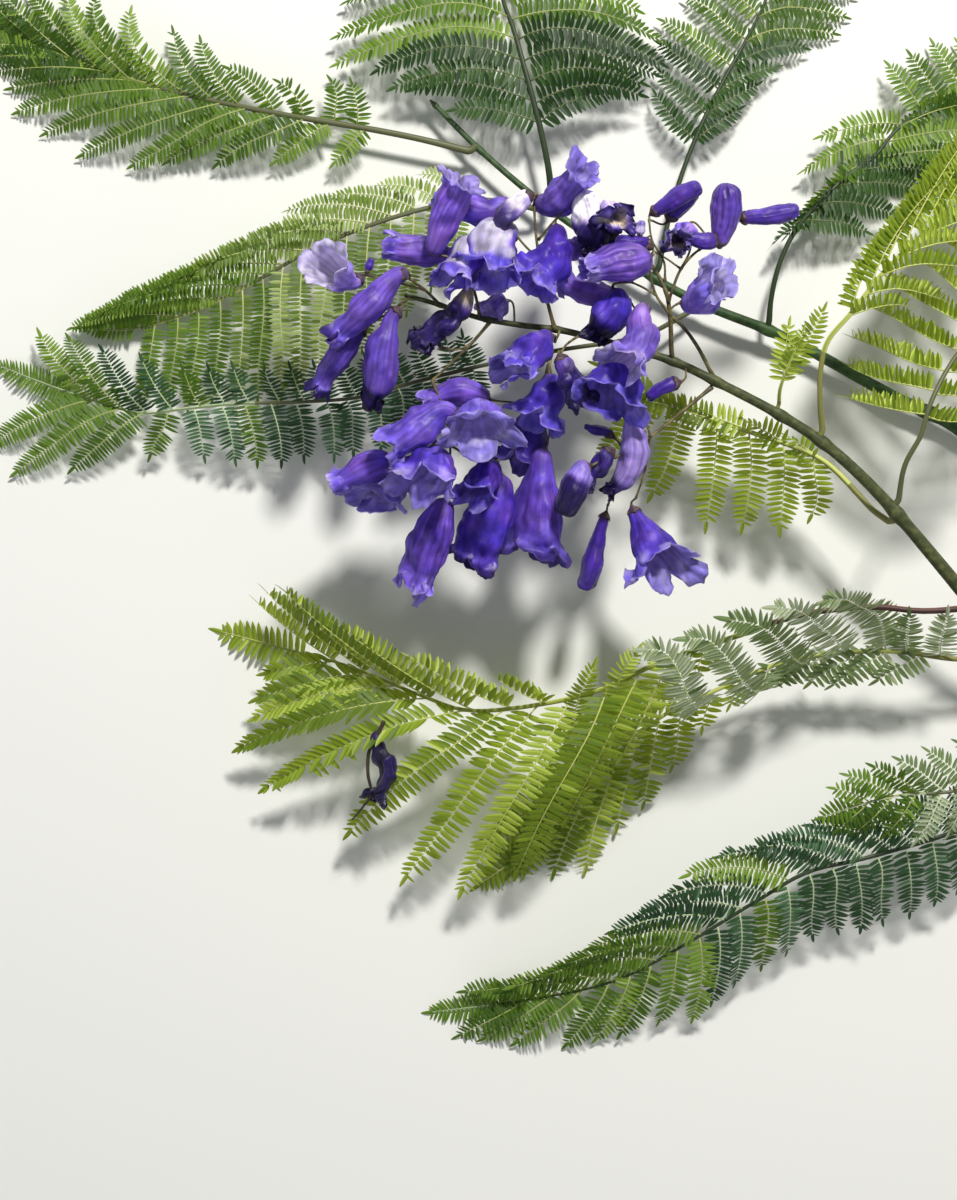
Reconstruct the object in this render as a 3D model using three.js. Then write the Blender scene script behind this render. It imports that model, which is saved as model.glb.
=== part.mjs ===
import * as THREE from 'three';

// A cut flowering branch with feathery leaves, lying on a level surface.
// Millimetres, +Z up. The plant is laid out on a grid seen straight from
// above: u to the right, v away from the far edge, and z the height above
// the surface that the branch lies on.

// ---- driving sizes (mm) ----
const GRID_STEP = 0.42;        // one grid unit, at the height of the blossom
const GRID_HEIGHT = 60;        // that height
const EYE_DISTANCE = 1100;     // from the eye of the layout down to that height
const GRID_U = 478.5;          // grid point under the eye
const GRID_V = 600;
const BLADE_THICKNESS = 1.7;   // a leaf's leaflets lie in a sheet about this thick
const PETIOLE_HALF = 1.0;      // half width of a leaf's bare stalk
const FOOT_RADIUS = 1.1;       // a flower's foot, where its calyx is

const CUT_RADIUS = 5.6, FORK_RADIUS = 4.7;      // the woody stub
const MAIN_RADIUS = [3.8, 0.9];                 // foot and tip of the flowering shoot
const REAR_RADIUS = [4.0, 1.1];                 // of the leafy shoot under it
const SPUR_RADIUS = [1.1, 0.7];                 // of the panicle's large side branch

// ---- limbs: [u, v, z] from foot to tip ----
const LIMBS = {
  cut_stub: { radius: [CUT_RADIUS, FORK_RADIUS], steps: 5,
    path: [[1168, 850, 5.7], [1140, 820, 7.6], [1113, 790, 10.6]] },
  flowering_shoot: { radius: MAIN_RADIUS, steps: 30,
    path: [[1109.5, 785, 12], [1060, 715, 24], [1010, 650, 36], [957, 585, 46], [897, 514, 53],
      [860, 475, 56], [822, 442, 58], [780, 415, 60], [715, 381, 62], [672, 361, 63], [600, 340, 64],
      [560, 330, 64], [520, 325, 64], [480, 318, 63], [440, 305, 62], [405, 295, 61]] },
  leafy_shoot: { radius: REAR_RADIUS, steps: 24,
    path: [[1124, 780, 8], [1112, 700, 7.4], [1084, 600, 7], [1030, 500, 7], [957, 428, 8], [900, 400, 9],
      [800, 345, 10], [768, 330, 11], [700, 303, 12], [640, 270, 12], [590, 237, 12], [545, 205, 12],
      [480, 150, 11], [430, 100, 10]] },
  panicle_spur: { radius: SPUR_RADIUS, steps: 8, sides: 6,
    path: [[671.5, 351, 66], [671, 335, 69], [670, 315, 72], [666, 292, 74], [655, 270, 74], [641, 255, 72]] },
};

// ---- leaves ----
// rib: [u, v, z] from the shoot to the tip. a and b: the two edges as an
// offset from the rib, [place along the rib, du, dv, dz].
const LEAVES = {
  leaf_middle_long: {
    rib: [[980, 605, 50], [957, 609, 53], [920, 611, 54], [874, 607, 54], [800, 615, 56], [737, 636, 56],
      [656, 664, 52], [600, 690, 47], [530, 706, 40], [465, 710, 32], [420, 695, 26], [345, 665, 16],
      [290, 650, 8], [222, 632, 1]],
    a: [[0.1, 0, 2, 0], [0.33, -2, 3, 0], [0.36, -30, 50, -10], [0.42, -60, 120, -18], [0.47, -90, 180, -22],
      [0.52, -92, 194, -24], [0.56, -122, 180, -22], [0.59, -146, 180, -21], [0.63, -157, 112, -18],
      [0.67, -195, 76, -14], [0.71, -200, 54, -12], [0.76, -150, 34, -8], [0.86, -60, 10, -2], [1, -8, 2, 0]],
    b: [[0.1, 4, -3, 0], [0.14, 14, 4, 6], [0.3, 18, 8, 10], [0.45, 4, -4, 8], [0.56, -40, -20, 8],
      [0.6, -92, -40, 9], [0.65, -126, -74, 9], [0.71, -150, -108, 7], [0.79, -108, -86, 4], [0.88, -60, -40, 1],
      [1, -8, -2, 0]] },
  leaf_middle_under: {
    rib: [[1011, 657, 28], [957, 659, 30], [889, 651, 31], [788, 661, 26], [712, 692, 21], [661, 717, 16],
      [618, 760, 11], [560, 813, 6], [526, 851, 3.4], [480, 884, 1]],
    a: [[0.08, 0, 4, 0], [0.12, -45, 22, -4], [0.2, -58, 34, -8], [0.28, -56, 30, -7], [0.36, -20, 22, -5],
      [0.43, -12, 22, -5], [0.5, -10, 34, -6], [0.55, -12, 60, -8], [0.6, -16, 84, -9], [0.65, -22, 90, -8],
      [0.7, -30, 104, -7], [0.78, -44, 74, -4], [0.88, -36, 36, -1], [1, -8, 6, 0]],
    b: [[0.08, 0, -4, 0], [0.14, -10, -34, 1], [0.3, -46, -38, 1], [0.45, -50, -30, 1], [0.5, -62, -6, 1],
      [0.55, -90, 4, 1], [0.6, -100, 12, 0], [0.65, -100, 24, 0], [0.75, -90, 34, 0], [0.85, -68, 26, 0],
      [1, -8, 0, 0]] },
  leaf_lower_long: {
    rib: [[1077, 757, 16], [1030, 800, 22], [957, 831, 27], [862, 859, 30], [808, 872, 30], [755, 902, 27],
      [684, 945, 20], [617, 980, 12], [521, 1001, 4], [432, 1012, 1]],
    a: [[0.1, 0, 4, 0], [0.15, 0, 50, -8], [0.27, 4, 64, -12], [0.4, 6, 64, -14], [0.5, -4, 70, -14],
      [0.6, -6, 78, -12], [0.66, -26, 68, -10], [0.74, -38, 60, -8], [0.8, -74, 50, -4], [0.88, -66, 32, -2],
      [0.95, -38, 14, 0], [1, -8, 3, 0]],
    b: [[0.1, 0, -4, 0], [0.15, -38, -28, 4], [0.27, -78, -28, 7], [0.4, -94, -14, 7], [0.55, -108, 10, 5],
      [0.65, -112, 16, 3], [0.75, -96, 4, 2], [0.88, -60, -10, 0], [1, -8, -1, 0]] },
  leaf_lower_short: {
    rib: [[1049, 712, 30], [1030, 735, 36], [1000, 765, 42], [957, 790, 46], [900, 795, 46], [850, 808, 43],
      [823, 817, 40]],
    a: [[0.15, 0, 4, 0], [0.2, 0, 22, -3], [0.45, -20, 50, -7], [0.75, -40, 36, -6], [1, -5, 4, 0]],
    b: [[0.15, 0, -4, 0], [0.2, -16, -24, 3], [0.45, -44, -36, 5], [0.75, -44, -18, 4], [1, -8, -1, 0]] },
  leaf_bright_upper: {
    rib: [[822.5, 430.5, 60], [820, 399, 66], [821, 367, 70], [828, 341, 72], [853, 311, 72], [882, 274, 68],
      [910, 246, 60], [957, 206, 46], [1000, 165, 32], [1030, 130, 20]],
    a: [[0.24, -3, -2, 0], [0.3, 30, -66, -4], [0.4, 74, -112, -12], [0.52, 84, -140, -22], [0.66, 72, -104, -20],
      [0.82, 44, -70, -10], [0.94, 18, -32, -4], [1, 0, -8, 0]],
    b: [[0.24, 3, 1, 0], [0.3, 52, -14, 0], [0.38, 76, 4, -2], [0.5, 106, -18, -8], [0.6, 116, -32, -12],
      [0.75, 88, -38, -8], [0.9, 44, -28, -3], [1, 6, -6, 0]] },
  leaf_right_edge: {
    rib: [[898.5, 500, 55.5], [905, 465, 62], [921, 435, 66], [930, 405, 67], [950, 365, 63], [985, 320, 54],
      [1020, 275, 40], [1050, 235, 26]],
    a: [[0.2, -4, 0, 0], [0.26, -70, -12, -14], [0.42, -95, -30, -25], [0.62, -90, -58, -25], [0.85, -50, -58, -9],
      [1, -2, -8, 0]],
    b: [[0.2, 4, 0, 0], [0.26, 52, 8, -5], [0.42, 90, 0, -12], [0.62, 95, -30, -13], [0.85, 60, -40, -6],
      [1, 6, -4, 0]] },
  leaf_under_panicle: {
    rib: [[888, 521, 48], [874, 511, 44], [822, 460, 40], [750, 432, 36], [700, 415, 33], [660, 395, 30],
      [640, 384, 29], [600, 366, 27]],
    a: [[0.2, 0, 4, 0], [0.26, 0, 52, -7], [0.42, -4, 90, -11], [0.6, -8, 104, -12], [0.7, -30, 92, -10],
      [0.78, -52, 72, -9], [0.88, -50, 44, -5], [0.95, -24, 20, -2], [1, -8, 4, 0]],
    b: [[0.2, 0, -4, 0], [0.26, -26, -20, -3], [0.42, -52, -26, -4], [0.6, -70, -20, -5], [0.76, -66, -10, -4],
      [0.9, -40, -8, -2], [1, -8, -1, 0]] },
  leaf_young: { steps: 6,
    rib: [[779, 404, 61], [780, 390, 66], [785, 374, 70], [794, 352, 74]],
    a: [[0.2, -2, 0, 0], [0.6, -8, -22, 1], [0.9, -8, -26, 1], [1, -6, -26, 1]],
    b: [[0.2, 2, 0, 0], [0.6, 14, -14, 1], [0.85, 28, -32, 2], [1, 30, -42, 3]] },
  leaf_rear_left: {
    rib: [[468.5, 151, 11], [420, 139, 12], [375, 130, 12], [280, 114, 11], [205, 99, 9], [135, 81, 7],
      [70, 59, 5], [25, 39, 3], [0, 24, 1.8], [-22, 12, 1]],
    a: [[0.1, 0, -4, 0], [0.19, -12, -41, 3], [0.25, 2, -41, 3], [0.31, -14, -36, 3], [0.37, -46, -38, 3],
      [0.435, -38, -60, 3], [0.5, -41, -68, 2], [0.56, -57, -79, 2], [0.62, -61, -86, 1], [0.685, -66, -88, 1],
      [0.74, -72, -78, 0], [0.8, -66, -60, 0], [0.88, -44, -38, 0], [0.95, -22, -18, 0], [1, -5, -1, 0]],
    b: [[0.1, 0, 4, 0], [0.2, -30, 33, -2], [0.26, -48, 36, -3], [0.32, -85, 44, -4], [0.38, -110, 47, -5],
      [0.445, -115, 58, -5], [0.51, -145, 46, -5], [0.575, -156, 35, -5], [0.63, -140, 14, -4],
      [0.69, -118, 3, -4], [0.75, -98, -3, -3], [0.82, -72, -8, -2], [0.9, -42, -8, -1], [0.96, -20, -5, 0],
      [1, -5, 1, 0]] },
  leaf_mid_left: {
    rib: [[536.5, 209, 12.5], [505, 202, 17], [470, 200, 20], [432, 207, 21], [395, 217, 22], [347, 234, 22],
      [300, 256, 21], [267, 275, 19], [230, 295, 16], [195, 311, 13], [160, 323, 9], [122, 330, 5], [86, 328, 2]],
    a: [[0.08, 0, 4, 0], [0.14, -5, 60, -4], [0.3, -8, 110, -8], [0.5, -6, 142, -10], [0.6, -5, 128, -10],
      [0.66, -6, 110, -9], [0.75, -10, 98, -7], [0.83, -13, 84, -5], [0.9, -17, 62, -3], [0.95, -15, 34, -1],
      [1, -6, 4, 0]],
    b: [[0.08, 0, -4, 0], [0.14, -40, -26, 1], [0.3, -108, -8, 0], [0.37, -138, 34, -3], [0.45, -145, 42, -4],
      [0.53, -150, 40, -5], [0.6, -160, 36, -6], [0.66, -160, 30, -6], [0.74, -130, 20, -5], [0.82, -96, 8, -4],
      [0.9, -60, -4, -2], [0.96, -28, -8, 0], [1, -8, -2, 0]] },
  leaf_dark_left: {
    rib: [[691, 311, 11], [645, 335, 14], [560, 350, 17], [480, 366, 20], [400, 386, 22], [361, 397, 22],
      [300, 402, 21], [233, 404, 19], [184, 409, 17], [140, 413, 13], [92, 400, 9], [40, 382, 5], [0, 366, 2]],
    a: [[0.24, 0, 4, 0], [0.3, -2, 50, -2], [0.48, 8, 52, -3], [0.57, 8, 54, -4], [0.66, 14, 56, -4],
      [0.72, 10, 46, -5], [0.76, -24, 44, -6], [0.8, -92, 62, -7], [0.84, -108, 60, -7], [0.88, -92, 34, -5],
      [0.93, -56, 22, -3], [1, -6, 4, 0]],
    b: [[0.24, 0, -4, 0], [0.3, -12, -28, 5], [0.5, -14, -32, 6], [0.7, -16, -34, 5], [0.76, -34, -52, 3],
      [0.82, -58, -72, 1], [0.88, -56, -56, 0], [0.94, -38, -40, 0], [1, -6, -4, 0]] },
  leaf_rear_top: {
    rib: [[551, 196, 12.5], [549, 172, 16], [540, 127, 18], [525, 70, 18], [513, 28, 15], [503, 0, 11],
      [497, -40, 5], [494, -70, 1]],
    a: [[0.16, -4, 0, 0], [0.24, -74, -10, -1], [0.325, -106, -20, -2], [0.42, -132, 6, -3], [0.51, -152, 10, -4],
      [0.61, -178, 28, -5], [0.7, -176, 16, -5], [0.79, -140, -8, -4], [0.88, -88, -28, -2], [1, -2, -8, 0]],
    b: [[0.16, 4, 0, 0], [0.24, 54, -37, 0], [0.34, 108, -10, -2], [0.42, 116, 0, -3], [0.51, 138, 14, -4],
      [0.61, 156, 28, -5], [0.7, 154, 22, -5], [0.79, 120, 0, -4], [0.88, 80, -22, -2], [1, 2, -8, 0]] },
  leaf_rear_mid: {
    rib: [[659, 267, 14], [668, 222, 13], [677, 189, 12], [690, 152, 11], [705, 117, 10], [727, 74, 8],
      [745, 42, 6], [764, 4, 5], [778, -36, 3], [786, -66, 1]],
    a: [[0.28, -4, 0, 0], [0.34, -34, -44, -1], [0.6, -66, -44, -2], [0.85, -50, -40, -1], [1, 0, -8, 0]],
    b: [[0.28, 4, 0, 0], [0.34, 40, -30, -1], [0.46, 54, -32, -1], [0.58, 68, -20, -1], [0.68, 88, -8, -2],
      [0.8, 92, 4, -2], [0.9, 66, -8, -1], [1, 4, -8, 0]] },
  leaf_rear_right: {
    rib: [[769, 322, 13], [771, 300, 16], [779, 265, 18], [797, 228, 18], [820, 202, 18], [847, 176, 16],
      [875, 156, 14], [890, 137, 13], [905, 123, 12], [957, 105, 8], [1000, 80, 4], [1035, 55, 1]],
    a: [[0.18, -4, 0, 0], [0.26, -34, 26, -4], [0.43, -40, 48, -6], [0.51, -78, 68, -7], [0.57, -86, 32, -4],
      [0.62, -78, 12, -2], [0.68, -34, -50, 0], [0.78, -32, -56, 0], [0.9, -20, -36, 0], [1, 0, -8, 0]],
    b: [[0.18, 4, 0, 0], [0.26, 60, 12, -5], [0.43, 104, 6, -8], [0.55, 106, -4, -8], [0.62, 70, -30, -5],
      [0.75, 74, -36, -4], [0.9, 46, -26, -1], [1, 6, -4, 0]] },
};

// ---- blossom ----
// Each row: kind, foot [u, v], mouth or tip [u, v], heights of the two,
// half width of the tube, half width at the lip, sideways bow of the tube.
const BLOOMS = {
  bloom_01: ['bell', [365, 274], [322, 270], 66, 70, 5.6, 9.2, 3],
  bloom_02: ['bell', [408, 274], [336, 330], 72, 66, 6.0, 7.4, 2],
  bloom_03: ['bell', [362, 330], [316, 390], 58, 52, 5.4, 7.0, 2],
  bloom_04: ['bud', [402, 307], [366, 405], 66, 58, 8.2, 4.0, 3],
  bloom_05: ['bell', [430, 254], [458, 182], 76, 82, 7.2, 9.4, -2],
  bloom_06: ['bell', [512, 208], [440, 196], 62, 60, 5.4, 7.4, -3],
  bloom_07: ['bell', [455, 258], [390, 246], 64, 60, 5.0, 7.4, 2],
  bloom_08: ['bell', [484, 241], [450, 284], 69.5, 68.5, 5.6, 7.4, 2],
  bloom_09: ['bell', [512, 241], [488, 268], 76, 88, 7.8, 11.2, 2],
  bloom_10: ['wilt', [533, 195], [498, 226], 84, 80, 5.0, 4.0, 2],
  bloom_11: ['wilt', [468, 290], [415, 342], 72, 66, 6.8, 6.0, -5],
  bloom_12: ['bell', [536, 197], [588, 172], 70, 80, 7.6, 10.0, -4],
  bloom_13: ['wilt', [583, 195], [596, 246], 76, 74, 7.0, 6.0, 2],
  bloom_14: ['bell', [556, 226], [536, 282], 75, 82, 7.6, 9.2, 2],
  bloom_15: ['bell', [646, 262], [588, 276], 84, 90, 8.0, 9.0, 2],
  bloom_16: ['bell', [627, 300], [556, 280], 66, 62, 5.6, 7.0, 2],
  bloom_17: ['bell', [612, 291], [598, 338], 77, 76, 7.6, 8.6, 2],
  bloom_18: ['bud', [652, 212], [696, 189], 78, 82, 5.4, 4.0, 2],
  bloom_19: ['wilt', [690, 222], [666, 250], 76, 72, 6.6, 6.0, 2],
  bloom_20: ['bud', [722, 247], [724, 197], 76, 82, 7.6, 5.0, 2],
  bloom_21: ['bud', [738, 218], [793, 213], 72, 72, 5.0, 4.0, 2],
  bloom_22: ['bell', [681, 303], [718, 276], 70, 84, 7.0, 11.0, 2],
  bloom_23: ['bell', [645, 308], [622, 364], 80, 90, 6.4, 10.6, 2],
  bloom_24: ['bell', [610, 373], [614, 411], 76, 84, 9.4, 10.6, 1],
  bloom_25: ['bell', [552, 337], [508, 370], 72, 79, 8.4, 11.2, 2],
  bloom_26: ['wilt', [560, 356], [582, 400], 82, 80, 6.6, 6.0, 2],
  bloom_27: ['bell', [546, 377], [535, 420], 64, 66, 7.0, 8.6, 2],
  bloom_28: ['bell', [530, 412], [518, 470], 48, 50, 7.6, 9.4, 2],
  bloom_29: ['bell', [476, 403], [481, 440], 76, 87, 8.4, 11.8, 1],
  bloom_30: ['bell', [489, 399], [426, 400], 58, 54, 5.4, 7.4, -2],
  bloom_31: ['bell', [453, 418], [393, 444], 80, 78, 8.6, 11.0, 3],
  bloom_32: ['bell', [391, 461], [338, 480], 70, 66, 6.6, 8.0, 2],
  bloom_33: ['bell', [399, 476], [372, 500], 48, 50, 7.6, 9.6, 2],
  bloom_34: ['bell', [439, 450], [421, 488], 77.5, 89.5, 8.8, 11.8, 2],
  bloom_35: ['bell', [446, 500], [416, 596], 66, 60, 8.6, 9.8, -2],
  bloom_36: ['bell', [501, 476], [472, 568], 62, 56, 8.6, 9.0, 2],
  bloom_37: ['bell', [545, 449], [531, 556], 58, 54, 9.4, 13.6, -3],
  bloom_38: ['bud', [593, 467], [565, 507], 74, 74, 5.8, 4.0, 2],
  bloom_39: ['bell', [640, 419], [607, 490], 68, 62, 6.6, 8.4, 3],
  bloom_40: ['bud', [606, 512], [588, 582], 54, 48, 4.8, 3.6, 1],
  bloom_41: ['bell', [632, 508], [664, 582], 56, 54, 8.4, 14.4, 3],
  bloom_withered: ['wilt', [380, 732], [379, 792], 34, 32.4, 5.4, 5.0, 5],
};

// Half width along a flower, as [place, share of foot, share of tube, share of lip].
const PROFILES = {
  bell: [[0, 1, 0, 0], [0.1, 1.5, 0, 0], [0.26, 0, 0.6, 0], [0.5, 0, 1, 0], [0.8, 0, 1.04, 0], [0.93, 0, 0, 1],
    [1, 0, 0, 0.82]],
  bud: [[0, 1, 0, 0], [0.14, 1.5, 0, 0], [0.42, 0, 0.74, 0], [0.68, 0, 1, 0], [0.9, 0, 0.7, 0], [1, 0, 0.28, 0]],
  wilt: [[0, 1, 0, 0], [0.16, 0, 0.5, 0], [0.42, 0, 1, 0], [0.66, 0, 0.6, 0], [0.88, 0, 0, 1], [1, 0, 0.4, 0]],
};
const BLOOM_SIDES = 8, BLOOM_STEPS = 7, LEAF_STEPS = 15;

function at(u, v, z) {
  const s = GRID_STEP * (EYE_DISTANCE - (z - GRID_HEIGHT)) / EYE_DISTANCE;
  return new THREE.Vector3((u - GRID_U) * s, (GRID_V - v) * s, z);
}

// Straight-line lookup in rows of [place, value, value, ...].
function lookup(rows, t) {
  if (t <= rows[0][0]) return rows[0].slice(1);
  for (let i = 1; i < rows.length; i++) {
    if (t <= rows[i][0]) {
      const f = (t - rows[i - 1][0]) / (rows[i][0] - rows[i - 1][0]);
      return rows[i].slice(1).map((x, k) => rows[i - 1][k + 1] + f * (x - rows[i - 1][k + 1]));
    }
  }
  return rows[rows.length - 1].slice(1);
}

// A closed skin over a row of rings that have the same number of points.
function skin(rings) {
  const n = rings[0].length, m = rings.length, pos = [], idx = [];
  for (const r of rings) for (const p of r) pos.push(p.x, p.y, p.z);
  const middle = (r) => {
    const c = new THREE.Vector3();
    for (const p of r) c.add(p);
    c.divideScalar(n);
    pos.push(c.x, c.y, c.z);
    return pos.length / 3 - 1;
  };
  for (let i = 0; i < m - 1; i++) {
    for (let j = 0; j < n; j++) {
      const a = i * n + j, b = i * n + (j + 1) % n;
      idx.push(a, b, a + n, b, b + n, a + n);
    }
  }
  const c0 = middle(rings[0]), c1 = middle(rings[m - 1]), last = (m - 1) * n;
  for (let j = 0; j < n; j++) {
    idx.push(c0, (j + 1) % n, j);
    idx.push(c1, last + j, last + (j + 1) % n);
  }
  const v = (k) => new THREE.Vector3(pos[3 * k], pos[3 * k + 1], pos[3 * k + 2]);
  let six = 0;                          // six times the signed volume
  for (let t = 0; t < idx.length; t += 3) six += v(idx[t]).dot(v(idx[t + 1]).cross(v(idx[t + 2])));
  if (six < 0) for (let t = 0; t < idx.length; t += 3) [idx[t + 1], idx[t + 2]] = [idx[t + 2], idx[t + 1]];
  const g = new THREE.BufferGeometry();
  g.setAttribute('position', new THREE.BufferAttribute(new Float32Array(pos), 3));
  g.setIndex(idx);
  g.computeVertexNormals();
  return g;
}

// Rings square to a curve, of half width radius(t).
function sweep(curve, steps, sides, radius) {
  const rings = [], up = new THREE.Vector3(0, 0, 1);
  for (let i = 0; i <= steps; i++) {
    const t = i / steps, p = curve.getPointAt(t), d = curve.getTangentAt(t);
    const side = new THREE.Vector3().crossVectors(d, up).normalize();
    const top = new THREE.Vector3().crossVectors(side, d).normalize();
    const r = radius(t), ring = [];
    for (let j = 0; j < sides; j++) {
      const w = 2 * Math.PI * (j + 0.5) / sides;
      ring.push(p.clone().addScaledVector(side, r * Math.cos(w)).addScaledVector(top, r * Math.sin(w)));
    }
    rings.push(ring);
  }
  return skin(rings);
}

const smooth = (points) => new THREE.CatmullRomCurve3(points, false, 'centripetal');

function limb({ path, radius: [r0, r1], steps, sides = 8 }) {
  return sweep(smooth(path.map((p) => at(...p))), steps, sides, (t) => r0 + (r1 - r0) * t);
}

// A leaf: a bare stalk, then a thin blade out to the two edges.
function leaf({ rib, a, b, steps = LEAF_STEPS }) {
  const grid = smooth(rib.map((p) => new THREE.Vector3(...p)));
  const rings = [];
  for (let i = 0; i <= steps; i++) {
    const t = i / steps, p = grid.getPointAt(t), d = grid.getTangentAt(t);
    const c = at(p.x, p.y, p.z);
    const across = new THREE.Vector3(-d.y, -d.x, 0).normalize().multiplyScalar(PETIOLE_HALF);
    const edge = (rows) => {
      const [du, dv, dz] = lookup(rows, t);
      const e = at(p.x + du, p.y + dv, p.z + dz);
      if (e.clone().sub(c).dot(across) < 0) return e.sub(across);
      return e.add(across);
    };
    let ea = edge(a), eb = edge(b);
    const half = new THREE.Vector3(0, 0, BLADE_THICKNESS / 2);
    rings.push([ea.clone().add(half), c.clone().add(half), eb.clone().add(half),
      eb.clone().sub(half), c.clone().sub(half), ea.clone().sub(half)]);
  }
  return skin(rings);
}

function bloom([kind, foot, mouth, z0, z1, tube, lip, bow]) {
  const p = at(...foot, z0), q = at(...mouth, z1);
  const d = q.clone().sub(p).normalize();
  const side = new THREE.Vector3().crossVectors(d, new THREE.Vector3(0, 0, 1)).normalize();
  const mid = p.clone().lerp(q, 0.5).addScaledVector(side, bow);
  const rows = PROFILES[kind];
  return sweep(smooth([p, mid, q]), BLOOM_STEPS, BLOOM_SIDES, (t) => {
    const [f, b, l] = lookup(rows, t);
    return f * FOOT_RADIUS + b * tube + l * lip;
  });
}

// ---- the whole branch ----
const bark = (c) => new THREE.MeshStandardMaterial({ color: c, roughness: 0.75, metalness: 0 });
const green = (c) => new THREE.MeshStandardMaterial({ color: c, roughness: 0.6, metalness: 0, side: THREE.DoubleSide });
const violet = (c) => new THREE.MeshStandardMaterial({ color: c, roughness: 0.55, metalness: 0 });
const LIMB_COLOURS = { cut_stub: 0x6e6250, flowering_shoot: 0x6f7f35, leafy_shoot: 0x3f5a2c, panicle_spur: 0x6b6a34 };
const BLOOM_COLOURS = { bell: 0x7a63c8, bud: 0x5a3fa6, wilt: 0x2c1f58 };

const branch = new THREE.Group();
const add = (name, geometry, material) => {
  const mesh = new THREE.Mesh(geometry, material);
  mesh.name = name;
  branch.add(mesh);
};
for (const [name, spec] of Object.entries(LIMBS)) add(name, limb(spec), bark(LIMB_COLOURS[name]));
for (const [name, spec] of Object.entries(LEAVES)) {
  const shade = name === 'leaf_dark_left' ? 0x2f5a45 : name.startsWith('leaf_rear') ? 0x6f9a3a : 0x8fae3f;
  add(name, leaf(spec), green(shade));
}
for (const [name, row] of Object.entries(BLOOMS)) add(name, bloom(row), violet(BLOOM_COLOURS[row[0]]));

// The origin is under the middle of the branch, on the surface it lies on.
branch.updateMatrixWorld(true);
const box = new THREE.Box3().setFromObject(branch, true);
branch.position.set(-(box.min.x + box.max.x) / 2, -(box.min.y + box.max.y) / 2, -box.min.z);
branch.updateMatrixWorld(true);

export default branch;
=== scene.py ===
"""A cut flowering branch with feathery leaves, lying on a pale floor."""
import math
import numpy as np
import bpy
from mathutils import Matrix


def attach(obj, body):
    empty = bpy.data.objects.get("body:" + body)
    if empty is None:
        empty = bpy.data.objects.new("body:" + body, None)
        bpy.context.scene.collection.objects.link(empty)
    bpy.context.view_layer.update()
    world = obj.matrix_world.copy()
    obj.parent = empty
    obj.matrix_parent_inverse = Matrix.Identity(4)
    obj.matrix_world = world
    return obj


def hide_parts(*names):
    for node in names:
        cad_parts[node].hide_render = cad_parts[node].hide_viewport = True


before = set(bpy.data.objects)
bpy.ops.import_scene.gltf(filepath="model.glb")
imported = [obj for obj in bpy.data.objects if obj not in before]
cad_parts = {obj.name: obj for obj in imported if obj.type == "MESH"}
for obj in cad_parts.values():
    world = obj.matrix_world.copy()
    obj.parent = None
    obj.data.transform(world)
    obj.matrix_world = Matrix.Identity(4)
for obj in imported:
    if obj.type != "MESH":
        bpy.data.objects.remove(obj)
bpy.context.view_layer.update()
rng = np.random.default_rng(20)

# ---------------------------------------------------------------- layout
# The same grid as the frame: u to the right, v away from the far edge,
# z the height above the floor. Everything is worked out in millimetres.
STEP, HEIGHT, EYE, U0, V0 = 0.42, 60.0, 1100.0, 478.5, 600.0
SHIFT = np.array([-41.797951, -52.005676, -0.15])


def at(g):
    g = np.asarray(g, float)
    s = STEP * (EYE - (g[..., 2] - HEIGHT)) / EYE
    return np.stack([(g[..., 0] - U0) * s, (V0 - g[..., 1]) * s, g[..., 2]], -1) + SHIFT


def spline(points, n=24):
    """A centripetal curve through the points."""
    p = np.asarray(points, float)
    p = np.vstack([2 * p[0] - p[1], p, 2 * p[-1] - p[-2]])
    out = []
    for k in range(len(p) - 3):
        a, b, c, d = p[k:k + 4]
        t0, t1, t2 = [max(np.dot(x, x) ** 0.25, 1e-4) for x in (a - b, b - c, c - d)]
        m1 = ((b - a) / t0 - (c - a) / (t0 + t1) + (c - b) / t1) * t1
        m2 = ((c - b) / t1 - (d - b) / (t1 + t2) + (d - c) / t2) * t1
        w = np.linspace(0, 1, n, endpoint=False)[:, None]
        out.append(b + m1 * w + (3 * (c - b) - 2 * m1 - m2) * w ** 2 + (2 * (b - c) + m1 + m2) * w ** 3)
    out.append(p[-2][None])
    return np.concatenate(out)


def lengths(p):
    return np.concatenate([[0], np.cumsum(np.linalg.norm(np.diff(p, axis=0), axis=1))])


def along(p, t):
    """Points at shares t of the length of the polyline p."""
    s = lengths(p)
    t = np.atleast_1d(t) * s[-1]
    return np.stack([np.interp(t, s, p[:, k]) for k in range(p.shape[1])], -1)


def unit(v):
    v = np.asarray(v, float)
    return v / np.maximum(np.linalg.norm(v, axis=-1, keepdims=True), 1e-9)


def lookup(rows, t):
    rows = np.asarray(rows, float)
    return np.stack([np.interp(t, rows[:, 0], rows[:, k]) for k in range(1, rows.shape[1])], -1)


def srgb(r, g, b):
    c = np.array([r, g, b], float) / 255
    return np.where(c <= 0.04045, c / 12.92, ((c + 0.055) / 1.055) ** 2.4)


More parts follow.
